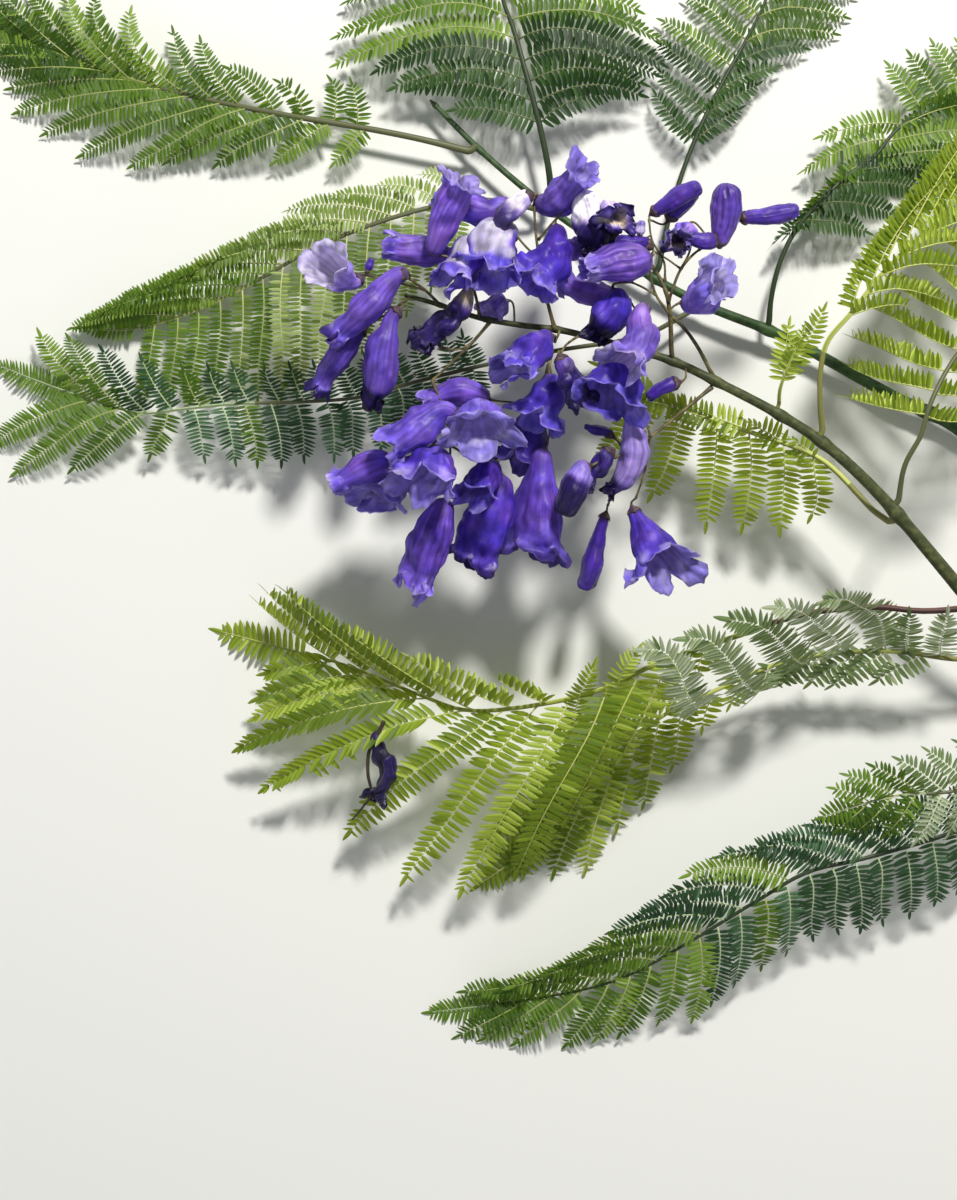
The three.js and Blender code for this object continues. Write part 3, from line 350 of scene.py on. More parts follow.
    "bloom_40": dict(k="bud", p=[[606, 513, 54], [603, 522, 54], [598, 540, 52], [593, 560, 50], [588, 581, 48]],
                     w=[1.8, 2.3, 3.1, 4.6, 4.2], deep=1.15),
    "bloom_41": dict(k="bell", p=[[632, 507, 56], [635, 514, 56], [641, 525, 57.5], [648, 538, 59], [655, 549, 62],
                                  [660, 557, 65]],
                     w=[2.4, 2.7, 4.2, 6.8, 9.2, 10.4], L=[9, 9, 14, 14, 14], b=[60, 55, 45, 22, 50], blue=0.5, deep=0.42, own=0.0,
                     slate=0.6, stamen=True, ruffle=0.9, inside=0.7, throat=0.7, squash=0.3,
                     glow=0.3),
    "bloom_withered": dict(k="wilt", p=[[381, 731, 34], [376, 739, 34], [379, 750, 34], [386, 763, 34], [386, 777, 33.5],
                                        [380, 789, 33]],
                           w=[1.4, 2.6, 3.0, 4.6, 4.2, 3.2], L=[8, 6, 7, 7, 6], b=[60, 10, 90, 30, -20], dark=1.0, ink=0.8),
}
# Small buds, half hidden flowers and shrivelled remains that have no solid of their own.
SMALL = [
    dict(k="bell", p=[[507, 301, 55], [501, 304, 56], [493, 308, 58]], w=[2.2, 4.6, 5.4], L=[5, 5, 6, 6, 5],
         b=[60, 70, 60, 40, 60], pale=0.3, warm=0.6, throat=0.4),
    dict(k="bell", p=[[593, 246, 64], [585, 247, 65], [573, 249, 66], [564, 246, 67]], w=[2.6, 4.4, 5.2, 4.8],
         L=[5, 5, 5, 6, 5], b=[60, 60, 50, 30, 60], pale=0.2, warm=0.4),
    dict(k="bud", p=[[652, 248, 79], [646, 245, 79], [634, 243, 80], [622, 241, 80]], w=[1.8, 3.2, 3.7, 3.0], deep=1.2),
    dict(k="bud", p=[[668, 221, 73], [674, 212, 74], [683, 202, 75], [693, 192, 76]], w=[2, 3.8, 4.5, 3.9], deep=0.85,
         warm=0.2),
    dict(k="bud", p=[[718, 240, 79], [710, 241, 80], [701, 241, 81], [691, 238, 82]], w=[2.4, 3.7, 3.8, 3.0], deep=0.8,
         rim=0.6),
    dict(k="bell", p=[[497, 462, 69], [491, 469, 70], [484, 480, 73], [478, 489, 76]], w=[3, 5.2, 6.8, 7.2],
         L=[7, 7, 8, 9, 8], b=[110, 90, 60, 30, 60], deep=0.8),
    dict(k="wilt", p=[[612, 449, 72], [606, 455, 72], [598, 466, 71], [590, 478, 70]], w=[1.6, 3.6, 4.0, 2.6],
         L=[5, 6, 5, 6, 5], b=[60, 0, 90, -30, 50], dark=1.0, rim=0.2),
    dict(k="bud", p=[[680, 382, 70], [672, 384, 70], [661, 389, 70], [652, 395, 69]], w=[2.2, 3.1, 3.0, 2.7], deep=1.3),
    dict(k="bud", p=[[613, 437, 66], [606, 432, 66], [596, 430, 66], [587, 427, 66]], w=[1.5, 2.2, 2.4, 1.6], deep=1.4),
    dict(k="wilt", p=[[605, 207, 79], [610, 211, 80], [614, 215, 83]], w=[3, 4.6, 5.2], L=[6, 5, 6, 5, 6],
         b=[70, 80, 60, 90, 70], pale=0.7, warm=0.3, throat=1.2, inside=1.0, tip=1.0,
         tipfrom=1.17),
    dict(k="bud", p=[[640, 237, 80], [640, 231, 81], [641, 224, 82]], w=[1.3, 2.2, 1.7], pale=1.0),
    dict(k="bud", p=[[367, 272, 67], [369, 266, 67], [371, 261, 67]], w=[1.0, 1.8, 1.5], deep=0.9),
    dict(k="bud", p=[[441, 347, 63], [438, 342, 63.5], [437, 337, 64]], w=[0.8, 1.4, 1.1], deep=0.2, pale=0.1),
]
# Thin twigs of the panicle: grid points and half widths at the two ends.
TWIGS = [
    ([[490, 322, 63], [470, 345, 62], [448, 366, 60], [432, 381, 60]], 0.75, 0.55),
    ([[432, 381, 60], [440, 400, 62], [450, 440, 64], [449, 470, 66], [448, 492, 67]], 0.6, 0.45),
    ([[450, 445, 64], [475, 460, 62], [498, 470, 61]], 0.5, 0.42),
    ([[447, 432, 63], [425, 450, 66], [405, 458, 66]], 0.5, 0.42),
    ([[470, 345, 62], [455, 350, 62], [441, 348, 63]], 0.42, 0.36),
    ([[555, 330, 65], [547, 300, 70], [541, 270, 72], [536, 235, 72], [534, 205, 72]], 0.85, 0.5),
    ([[541, 262, 72], [520, 240, 74], [508, 222, 72]], 0.55, 0.42),
    ([[538, 240, 72], [560, 215, 76], [578, 200, 78]], 0.55, 0.42),
    ([[712, 387, 61], [684, 410, 64], [650, 437, 66], [622, 455, 68], [600, 462, 70]], 0.85, 0.5),
    ([[650, 436, 66], [645, 470, 62], [636, 498, 58]], 0.55, 0.42),
    ([[625, 454, 68], [616, 482, 62], [608, 505, 56]], 0.5, 0.4),
    ([[440, 305, 62], [425, 290, 66], [410, 279, 70]], 0.75, 0.5),
    ([[425, 290, 66], [395, 282, 68], [366, 275, 67]], 0.5, 0.4),
    ([[410, 297, 61.5], [385, 315, 60], [366, 326, 59]], 0.55, 0.42),
    ([[480, 318, 63.5], [474, 290, 70], [462, 262, 74], [455, 246, 75]], 0.7, 0.5),
    ([[462, 262, 74], [445, 256, 76], [433, 255, 76]], 0.5, 0.42),
    ([[714, 378, 61], [697, 346, 66], [684, 328, 69], [672, 317, 71.5]], 0.9, 0.7),
    ([[671, 316, 72], [656, 295, 75], [650, 271, 78], [652, 254, 80]], 0.65, 0.45),
    ([[656, 295, 75], [644, 288, 76], [631, 282, 76]], 0.5, 0.45),
    ([[655, 270, 74], [620, 240, 75], [600, 212, 77], [586, 196, 77]], 0.65, 0.45),
    ([[668, 303, 73.5], [673, 288, 76], [681, 269, 78], [699, 250, 78], [718, 244, 77]], 0.7, 0.45),
    ([[681, 269, 78], [667, 259, 79], [655, 252, 80]], 0.45, 0.38),
    ([[699, 250, 78], [715, 232, 76], [735, 219, 73]], 0.5, 0.42),
    ([[681, 269, 78], [690, 250, 77], [691, 228, 76]], 0.5, 0.42),
    ([[665, 281, 75], [664, 262, 77], [652, 240, 78], [649, 220, 78]], 0.5, 0.4),
    ([[668, 312, 72.5], [674, 306, 71.5], [680, 303, 70.5]], 0.5, 0.42),
    ([[600, 340, 64.5], [608, 352, 70], [611, 369, 74]], 0.6, 0.45),
    ([[580, 335, 65], [566, 345, 74], [561, 353, 80]], 0.6, 0.45),
    ([[560, 330, 65], [557, 338, 68], [555, 342, 69]], 0.6, 0.45),
    ([[540, 328, 63], [551, 350, 61], [548, 373, 63]], 0.7, 0.5),
    ([[549, 362, 62], [541, 388, 54], [532, 408, 49]], 0.55, 0.42),
    ([[549, 366, 61], [556, 405, 57], [550, 432, 57], [546, 446, 57.5]], 0.6, 0.45),
    ([[627, 345, 64.5], [640, 328, 72], [647, 314, 78]], 0.55, 0.42),
    ([[640, 348, 64.5], [642, 322, 66], [630, 301, 66]], 0.5, 0.42),
    ([[606, 341, 65], [624, 318, 72], [615, 293, 76]], 0.5, 0.42),
    ([[650, 437, 66], [648, 428, 68], [643, 420, 68]], 0.5, 0.42),
]
DEAD_TWIG = [[384, 721, 35.5], [377, 736, 35.5], [369, 752, 35], [368, 774, 35], [371, 794, 33.5], [362, 808, 31],
             [352, 820, 30]]


# ---------------------------------------------------------------- meshes
class Bag:
    """Vertices, faces, tints and vein coordinates, gathered before one mesh is made of them."""

    def __init__(self):
        self.v, self.f, self.c, self.g, self.n = [], [], [], [], 0

    def add(self, v, faces, slot=0, tint=None, vein=None):
        v = np.asarray(v, float).reshape(-1, 3)
        for f in faces:
            if len(f):
                f = np.asarray(f, np.int64)
                s = np.full(len(f), slot) if np.isscalar(slot) else np.asarray(slot)
                self.f.append((f + self.n, s))
        self.v.append(v)
        self.c.append(np.broadcast_to(np.ones(3) if tint is None else tint, (len(v), 3)))
        self.g.append(np.zeros((len(v), 3)) if vein is None else vein)
        self.n += len(v)

    def object(self, name, mats, tinted=False):
        v = np.concatenate(self.v)
        v[:, 2] = np.maximum(v[:, 2], 0.15)
        v = v * 0.001
        loops, starts, slots, pos = [], [], [], 0
        for f, s in self.f:
            k = f.shape[1]
            loops.append(f.ravel())
            starts.append(pos + np.arange(len(f)) * k)
            slots.append(s)
            pos += f.size
        starts, slots = np.concatenate(starts), np.concatenate(slots)
        me = bpy.data.meshes.new(name)
        me.vertices.add(len(v))
        me.vertices.foreach_set("co", v.astype(np.float32).ravel())
        me.loops.add(pos)
        me.loops.foreach_set("vertex_index", np.concatenate(loops).astype(np.int32))
        me.polygons.add(len(starts))
        me.polygons.foreach_set("loop_start", starts.astype(np.int32))
        me.polygons.foreach_set("material_index", slots.astype(np.int32))
        me.update(calc_edges=True)
        me.polygons.foreach_set("use_smooth", np.ones(len(starts), bool))
        if tinted:
            ca = me.color_attributes.new("Tint", "FLOAT_COLOR", "POINT")
            c = np.concatenate(self.c)
            ca.data.foreach_set("color", np.hstack([c, np.ones((len(c), 1))]).astype(np.float32).ravel())
            va = me.attributes.new("Vein", "FLOAT_VECTOR", "POINT")
            va.data.foreach_set("vector", np.concatenate(self.g).astype(np.float32).ravel())
        for m in mats:
            me.materials.append(m)
        me.validate()
        ob = bpy.data.objects.new(name, me)
        bpy.context.scene.collection.objects.link(ob)
        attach(ob, "root")
        return ob


def frames(p, up=(0.0, 0.0, 1.0)):
    """Tangents and two cross directions carried along a polyline without twist."""
    t = unit(np.gradient(p, axis=0))
    up = np.asarray(up, float)
    n = up - t[0] * np.dot(up, t[0])
    if np.linalg.norm(n) < 0.05:
        n = np.array([0.0, 1.0, 0.0]) - t[0] * t[0][1]
    n = n / np.linalg.norm(n)
    ns = [n]
    for k in range(1, len(p)):
        n = n - t[k] * np.dot(n, t[k])
        n = n / max(np.linalg.norm(n), 1e-9)
        ns.append(n)
    n = np.array(ns)
    return t, n, np.cross(t, n)


def grid_faces(m, n, off=0, flip=False, closed=True):
    """Quads of m rows with n points each, the rows closed into rings or open."""
    i, j = np.meshgrid(np.arange(m - 1), np.arange(n if closed else n - 1), indexing="ij")
    a = (i * n + j).ravel()
    b = (i * n + (j + 1) % n).ravel()
    q = np.stack([a, b, b + n, a + n], 1)
    return (q[:, ::-1] if flip else q) + off


def tube(p, r, sides=12, relief=None, up=(0, 0, 1)):
    """A closed tapering tube. relief(s_mm, angle) is added to the half width."""
    p = np.asarray(p, float)
    r = np.broadcast_to(r, (len(p),)).astype(float)
    t, n, b = frames(p, up)
    w = 2 * math.pi * np.arange(sides) / sides
    rr = np.repeat(r[:, None], sides, 1)
    if relief is not None:
        rr = rr + relief(lengths(p)[:, None], w[None, :])
    v = p[:, None] + n[:, None] * (rr * np.cos(w))[..., None] + b[:, None] * (rr * np.sin(w))[..., None]
    v = v.reshape(-1, 3)
    m = len(p)
    ends = np.array([p[0] - t[0] * r[0] * 0.25, p[-1] + t[-1] * r[-1] * 0.6])
    k = np.arange(sides)
    c0 = np.stack([np.full(sides, m * sides), (k + 1) % sides, k], 1)
    c1 = np.stack([np.full(sides, m * sides + 1), (m - 1) * sides + k, (m - 1) * sides + (k + 1) % sides], 1)
    return np.vstack([v, ends]), [grid_faces(m, sides), np.vstack([c0, c1])]


def wave_noise(seed, terms=6, lo=1, hi=6):
    """A smooth function of a position and an angle, periodic in the angle."""
    g = np.random.default_rng(seed)
    ks = g.integers(0, 4, terms)
    fs = g.uniform(lo, hi, terms)
    ph = g.uniform(0, 6.28, (terms, 2))
    am = g.uniform(0.5, 1, terms)
    am = am / am.sum()

    def f(s, w):
        return sum(a * np.sin(fr * s + p0) * np.cos(k * w + p1) for a, k, fr, (p0, p1) in zip(am, ks, fs, ph))
    return f


def space_noise(p, size, seed, terms=14):
    """A smooth function of a place in space, about -1 to 1, with lumps of about that size in mm."""
    g = np.random.default_rng(seed)
    k = unit(g.normal(size=(terms, 3))) * (2 * math.pi / size * g.uniform(0.5, 1.1, terms))[:, None]
    ph = g.uniform(0, 6.28, terms)
    return np.sin(p @ k.T + ph).sum(-1) / math.sqrt(terms) * 0.9


def vertex_normals(v, quads):
    fn = np.cross(v[quads[:, 2]] - v[quads[:, 0]], v[quads[:, 3]] - v[quads[:, 1]])
    n = np.zeros_like(v)
    for k in range(4):
        np.add.at(n, quads[:, k], fn)
    return unit(n)


def thicken(v, quads, thick):
    """Turns an open sheet of quads into a closed skin: the sheet, its inner side and a strip round each edge."""
    n = vertex_normals(v, quads)
    inner = v - n * thick
    e = np.concatenate([quads[:, [0, 1]], quads[:, [1, 2]], quads[:, [2, 3]], quads[:, [3, 0]]])
    key = np.sort(e, 1)
    key = key[:, 0] * (len(v) + 1) + key[:, 1]
    _, inv, count = np.unique(key, return_inverse=True, return_counts=True)
    edge = e[count[inv.ravel()] == 1]
    a, b = edge[:, 0], edge[:, 1]
    k = len(v)
    rim = np.stack([b, a, a + k, b + k], 1)
    return np.vstack([v, inner]), [quads, quads[:, ::-1] + k, rim]


# ---------------------------------------------------------------- materials
def new_mat(name, rough=0.5, spec=0.5, sheen=0.0, color=None):
    m = bpy.data.materials.new(name)
    m.use_nodes = True
    nt = m.node_tree
    b = nt.nodes["Principled BSDF"]
    b.inputs["Roughness"].default_value = rough
    b.inputs["Specular IOR Level"].default_value = spec
    if sheen:
        b.inputs["Sheen Weight"].default_value = sheen
        b.inputs["Sheen Roughness"].default_value = 0.4
    if color is not None:
        b.inputs["Base Color"].default_value = (*color, 1)
        m.diffuse_color = (*color, 1)
    return m, nt, b


def through(nt, b, share, color=None, source=None):
    """Lets part of the light through a thin leaf or petal."""
    tr = nt.nodes.new("ShaderNodeBsdfTranslucent")
    mix = nt.nodes.new("ShaderNodeMixShader")
    mix.inputs["Fac"].default_value = share
    nt.links.new(b.outputs[0], mix.inputs[1])
    nt.links.new(tr.outputs[0], mix.inputs[2])
    nt.links.new(mix.outputs[0], nt.nodes["Material Output"].inputs["Surface"])
    if color is not None:
        tr.inputs["Color"].default_value = (*color, 1)
    if source is not None:
        nt.links.new(source, tr.inputs["Color"])


def leaf_mat(name, rgb, glow=None, rough=0.48, share=0.36):
    c = srgb(*rgb)
    m, nt, b = new_mat(name, rough, 0.28, color=c)
    through(nt, b, share, color=srgb(*(glow or rgb)))
    return m


def petal_mat(name, rough=0.38, share=0.56, bump=0.5, sheen=0.06, veins=0.34, grain=0.12):
    """A thin petal: its tints are on the mesh, fine veins run along it, and it lets light through."""
    m, nt, b = new_mat(name, rough, 0.36, sheen)
    ca = nt.nodes.new("ShaderNodeVertexColor")
    ca.layer_name = "Tint"
    at_ = nt.nodes.new("ShaderNodeAttribute")
    at_.attribute_name = "Vein"
    lines = nt.nodes.new("ShaderNodeTexNoise")
    lines.inputs["Scale"].default_value = 1.0
    lines.inputs["Detail"].default_value = 4
    lines.inputs["Roughness"].default_value = 0.6
    nt.links.new(at_.outputs["Vector"], lines.inputs["Vector"])
    shade = nt.nodes.new("ShaderNodeMapRange")
    shade.inputs["From Min"].default_value = 0.36
    shade.inputs["From Max"].default_value = 0.62
    shade.inputs["To Min"].default_value = 1.0 - veins
    shade.inputs["To Max"].default_value = 1.0 + veins * 0.45
    nt.links.new(lines.outputs["Fac"], shade.inputs["Value"])
    tc = nt.nodes.new("ShaderNodeTexCoord")
    no = nt.nodes.new("ShaderNodeTexNoise")
    no.inputs["Scale"].default_value = 420
    no.inputs["Detail"].default_value = 5
    nt.links.new(tc.outputs["Object"], no.inputs["Vector"])
    ramp = nt.nodes.new("ShaderNodeMapRange")
    ramp.inputs["From Min"].default_value = 0.3
    ramp.inputs["From Max"].default_value = 0.7
    ramp.inputs["To Min"].default_value = 1.0 - grain
    ramp.inputs["To Max"].default_value = 1.0 + grain
    nt.links.new(no.outputs["Fac"], ramp.inputs["Value"])
    both = nt.nodes.new("ShaderNodeMath")
    both.operation = "MULTIPLY"
    nt.links.new(shade.outputs[0], both.inputs[0])
    nt.links.new(ramp.outputs[0], both.inputs[1])
    mul = nt.nodes.new("ShaderNodeVectorMath")
    mul.operation = "SCALE"
    nt.links.new(ca.outputs["Color"], mul.inputs[0])
    nt.links.new(both.outputs[0], mul.inputs["Scale"])
    nt.links.new(mul.outputs[0], b.inputs["Base Color"])
    fine = nt.nodes.new("ShaderNodeTexNoise")
    fine.inputs["Scale"].default_value = 1500
    fine.inputs["Detail"].default_value = 3
    nt.links.new(tc.outputs["Object"], fine.inputs["Vector"])
    add = nt.nodes.new("ShaderNodeMath")
    add.operation = "MULTIPLY_ADD"
    add.inputs[1].default_value = 0.25
    nt.links.new(fine.outputs["Fac"], add.inputs[0])
    nt.links.new(lines.outputs["Fac"], add.inputs[2])
    bu = nt.nodes.new("ShaderNodeBump")
    bu.inputs["Strength"].default_value = bump
    bu.inputs["Distance"].default_value = 0.0005
    nt.links.new(add.outputs[0], bu.inputs["Height"])
    nt.links.new(bu.outputs[0], b.inputs["Normal"])
    # light crosses the petal's two faces, each of which takes half of the tint
    half = nt.nodes.new("ShaderNodeGamma")
    half.inputs["Gamma"].default_value = 0.5
    nt.links.new(mul.outputs[0], half.inputs["Color"])
    through(nt, b, share, source=half.outputs[0])
    return m


def bark_mat(name, dark, light, tinge, scale=160, rough=0.6, bump=0.4, spots=True):
    m, nt, b = new_mat(name, rough, 0.4)
    tc = nt.nodes.new("ShaderNodeTexCoord")
    big = nt.nodes.new("ShaderNodeTexNoise")
    big.inputs["Scale"].default_value = scale
    big.inputs["Detail"].default_value = 6
    nt.links.new(tc.outputs["Object"], big.inputs["Vector"])
    ramp = nt.nodes.new("ShaderNodeValToRGB")
    e = ramp.color_ramp.elements
    e[0].position, e[0].color = 0.32, (*srgb(*dark), 1)
    e[1].position, e[1].color = 0.68, (*srgb(*light), 1)
    mid = ramp.color_ramp.elements.new(0.5)
    mid.color = (*srgb(*tinge), 1)
    nt.links.new(big.outputs["Fac"], ramp.inputs["Fac"])
    color = ramp.outputs["Color"]
    if spots:
        vo = nt.nodes.new("ShaderNodeTexVoronoi")
        vo.inputs["Scale"].default_value = 330
        nt.links.new(tc.outputs["Object"], vo.inputs["Vector"])
        cut = nt.nodes.new("ShaderNodeMapRange")
        cut.inputs["From Min"].default_value = 0.10
        cut.inputs["From Max"].default_value = 0.22
        cut.inputs["To Min"].default_value = 0.30
        cut.inputs["To Max"].default_value = 0.0
        nt.links.new(vo.outputs["Distance"], cut.inputs["Value"])
        mix = nt.nodes.new("ShaderNodeMix")
        mix.data_type = "RGBA"
        nt.links.new(cut.outputs[0], mix.inputs["Factor"])
        nt.links.new(color, mix.inputs["A"])
        mix.inputs["B"].default_value = (*srgb(150, 140, 108), 1)
        color = mix.outputs["Result"]
    nt.links.new(color, b.inputs["Base Color"])
    fine = nt.nodes.new("ShaderNodeTexNoise")
    fine.inputs["Scale"].default_value = 1400
    fine.inputs["Detail"].default_value = 5
    nt.links.new(tc.outputs["Object"], fine.inputs["Vector"])
    bu = nt.nodes.new("ShaderNodeBump")
    bu.inputs["Strength"].default_value = bump
    bu.inputs["Distance"].default_value = 0.0003
    nt.links.new(fine.outputs["Fac"], bu.inputs["Height"])
    nt.links.new(bu.outputs[0], b.inputs["Normal"])
    return m


SHADES = {
    "bright": [(134, 156, 48), (100, 124, 32), (180, 198, 94), (74, 100, 26)],
    "fresh": [(126, 150, 74), (98, 124, 52), (170, 186, 118), (72, 100, 38)],
    "green": [(98, 130, 42), (74, 104, 28), (134, 160, 66), (52, 82, 22)],
    "deep": [(56, 86, 42), (40, 68, 32), (76, 104, 54), (30, 54, 26)],
    "dark": [(62, 94, 64), (46, 74, 50), (94, 126, 94), (34, 58, 40)],
    "silver": [(158, 172, 134), (116, 136, 92), (194, 204, 174), (78, 102, 58)],
}
GLOW = {"bright": (186, 202, 56), "fresh": (160, 180, 76), "green": (124, 158, 46), "deep": (68, 106, 38), "dark": (76, 116, 64),
        "silver": (150, 168, 104)}
MATS = {}
for fam, shades in SHADES.items():
    MATS[fam] = [leaf_mat(f"leaflet_{fam}_{i}", c, GLOW[fam]) for i, c in enumerate(shades)]
# colours of the ribs; each family's darker copy is painted shade, laid on the groove along the top and on the underside
# of the rib
RIBS = {}
for key, rgb in {
    "bright": (184, 190, 104), "fresh": (176, 184, 118), "green": (148, 160, 88), "deep": (96, 108, 64), "dark": (172, 188, 142),
    "silver": (204, 210, 172), "groove_bright": (142, 152, 66), "groove_fresh": (132, 142, 76), "groove_green": (104, 118, 56),
    "groove_deep": (64, 76, 42), "groove_dark": (112, 130, 92), "groove_silver": (128, 140, 88), "brown": (112, 72, 60),
    "brown_low": (66, 42, 38), "olive": (126, 126, 68), "dusk": (88, 92, 60), "night": (46, 60, 36),
}.items():
    RIBS[key] = leaf_mat("rib_" + key, rgb, share=0.04, rough=0.45)
petal = petal_mat("petal_violet")
petal_bud = petal_mat("petal_bud", rough=0.40, share=0.12, sheen=0.15, veins=0.3)
petal_dry = petal_mat("petal_withered", rough=0.4, share=0.08, bump=0.8, sheen=0.1, veins=0.3, grain=0.25)
stem_green = bark_mat("stem_green", (42, 52, 24), (88, 90, 50), (60, 68, 32), scale=330, spots=False)
stem_rear = bark_mat("stem_leafy", (30, 54, 26), (62, 88, 42), (44, 72, 32), scale=330, spots=False)
twig_green = bark_mat("twig_green", (60, 50, 36), (124, 114, 74), (86, 78, 48), scale=300, spots=False, bump=0.3)
stub_bark = bark_mat("stub_bark", (74, 62, 46), (142, 130, 106), (106, 94, 72), scale=90, bump=0.8)
wood_face, nt, b = new_mat("wood_face", 0.75, 0.3)
ring_tint = nt.nodes.new("ShaderNodeVertexColor")
ring_tint.layer_name = "Tint"
nt.links.new(ring_tint.outputs["Color"], b.inputs["Base Color"])
dead_twig = bark_mat("dead_twig", (34, 26, 20), (70, 56, 44), (50, 38, 30), spots=False)


# ---------------------------------------------------------------- leaves
def leaflet_template():
    """One leaflet: length 1 along x, half width 1 along y, folded along its middle."""
    s = np.array([0.0, 0.08, 0.32, 0.64, 0.87])
    w = np.array([0.30, 0.84, 1.0, 0.84, 0.46])
    rows = []
    for a, b in zip(s, w):
        rows += [(a, -b, 1.0), (a, 0, 0.0), (a, b, 1.0)]
    rows.append((1.0, 0, 0.0))
    q = []
    for i in range(len(s) - 1):
        for j in (0, 1):
            q.append((3 * i + j, 3 * i + 3 + j, 3 * i + 4 + j, 3 * i + 1 + j))
    k = 3 * (len(s) - 1)
    t = [(k, k + 3, k + 1), (k + 1, k + 3, k + 2)]
    return np.array(rows), np.array(q), np.array(t)


TV, TQ, TT3 = leaflet_template()


# painted shade: the darker tone that one half of each leaflet takes
SHADED_HALF = np.array([1, 3, 0, 3, 5, 7, 4, 7, 9, 11, 8, 11])


def leaflets(bag, base, x, n, length, width, slots, g, tip_side=0):
    """Leaflets at base points, along x, with face normals n. One half of each takes a darker tone as painted shade."""
    k = len(base)
    x = unit(x)
    n = unit(n - x * (n * x).sum(-1, keepdims=True))
    y = np.cross(n, x)
    fold = g.uniform(0.06, 0.30, k)
    droop = g.uniform(-0.03, 0.12, k)
    sweep = g.uniform(-0.03, 0.09, k)
    tx, ty = TV[:, 0], TV[:, 1]
    L, W = length[:, None], width[:, None]
    lx = L * tx
    ly = W * ty + L * sweep[:, None] * tx ** 2
    lz = W * fold[:, None] * np.abs(ty) - L * droop[:, None] * tx ** 2
    v = base[:, None] + x[:, None] * lx[..., None] + y[:, None] * ly[..., None] + n[:, None] * lz[..., None]
    m = len(TV)
    off = (np.arange(k) * m)[:, None, None]
    v = v.reshape(-1, 3)
    v[:, 2] = np.maximum(v[:, 2], 0.25)
    q = (TQ[None] + off).reshape(-1, 4)
    t = (TT3[None] + off).reshape(-1, 3)
    bag.add(v, [])
    start = bag.n - len(v)
    halves = [slots, SHADED_HALF[slots]]
    if tip_side:
        halves.reverse()
    bag.f.append((q + start, np.stack([halves[i % 2] for i in range(len(TQ))], 1).ravel()))
    bag.f.append((t + start, np.stack([halves[i % 2] for i in range(len(TT3))], 1).ravel()))


def feather(bag, ribs, p, ref, gap, size, shade, base_slot, g, rib_slot, r0, roll=0.0, lift=0.0, first=0.05, tip=True, slim=1.0,
            bare=0.0, face=(0, 0, 1), lay=None, angles=(84, 74, 54)):
    """A line of paired leaflets along p. ref is the direction that its plane holds, face the way that its upper side looks,
    and lay a direction that the leaflets turn to, with a share."""
    total = lengths(p)[-1]
    k = max(3, int(round(total * (1 - first) / gap)))
    tau = first + (1 - first) * (np.arange(k) + 0.5) / k
    c = along(p, tau)
    t = unit(along(p, np.clip(tau + 0.02, 0, 1)) - along(p, np.clip(tau - 0.02, 0, 1)))
    n = np.cross(t, np.broadcast_to(ref, t.shape))
    bad = np.linalg.norm(n, axis=1) < 0.15
    n[bad] = face
    n = unit(n)
    if (n @ np.array(face, float)).mean() < 0:
        n = -n
    side = np.cross(n, t)
    turn = roll * (0.5 + 0.5 * tau)[:, None]
    n, side = n * np.cos(turn) + side * np.sin(turn), side * np.cos(turn) - n * np.sin(turn)
    shape = np.interp(tau, [0, 0.07, 0.3, 0.72, 0.9, 1], [0.72, 0.95, 1.0, 0.90, 0.66, 0.40])
    gaps = total * (1 - first) / k
    # for each spray, which half of the leaflets keeps its tone and which takes the painted shade
    light = g.random() < 0.7
    for sgn in (-1, 1):
        ang = np.radians(np.interp(tau, [0, 0.5, 1], angles) + g.normal(0, 2.2, k))
        up = lift + np.radians(g.normal(0, 5, k))
        d = t * np.cos(ang)[:, None] + sgn * side * np.sin(ang)[:, None]
        if lay is not None:
            to = np.array(lay[0], float)
            to = np.where((d @ to)[:, None] < 0, -to, to)
            d = unit(d * (1 - lay[1]) + to * lay[1])
        x = d * np.cos(up)[:, None] + n * np.sin(up)[:, None]
        tilt = g.normal(0, 0.12, k)[:, None]
        nn = n + t * tilt - sgn * side * 0.06
        base = c + t * (g.normal(0, 0.07 * gaps, k) + (0.12 if sgn > 0 else -0.12) * gaps)[:, None] + sgn * side * 0.15
        ln = size * shape * g.uniform(0.94, 1.05, k)
        wd = np.minimum(gaps * 0.44, ln * 0.2) * slim * (0.62 + 0.38 * shape) * g.uniform(0.94, 1.06, k)
        slots = np.where(g.random(k) < 0.16, g.integers(0, 4, k), shade) + base_slot
        keep = g.random(k) >= bare
        leaflets(bag, base[keep], x[keep], nn[keep], ln[keep], wd[keep], slots[keep], g, tip_side=int((sgn > 0) == light))
    if tip:
        ln = np.array([size * 0.8])
        leaflets(bag, along(p, [0.985]), t[-1:], n[-1:], ln, ln * 0.14, np.array([shade + base_slot]), g)
    q = along(p, np.linspace(0, 1, max(6, int(total / 5))))
    r = np.linspace(r0, 0.14, len(q))
    v, f = tube(q, r, 6)
    ribs.add(v, f, rib_slot)


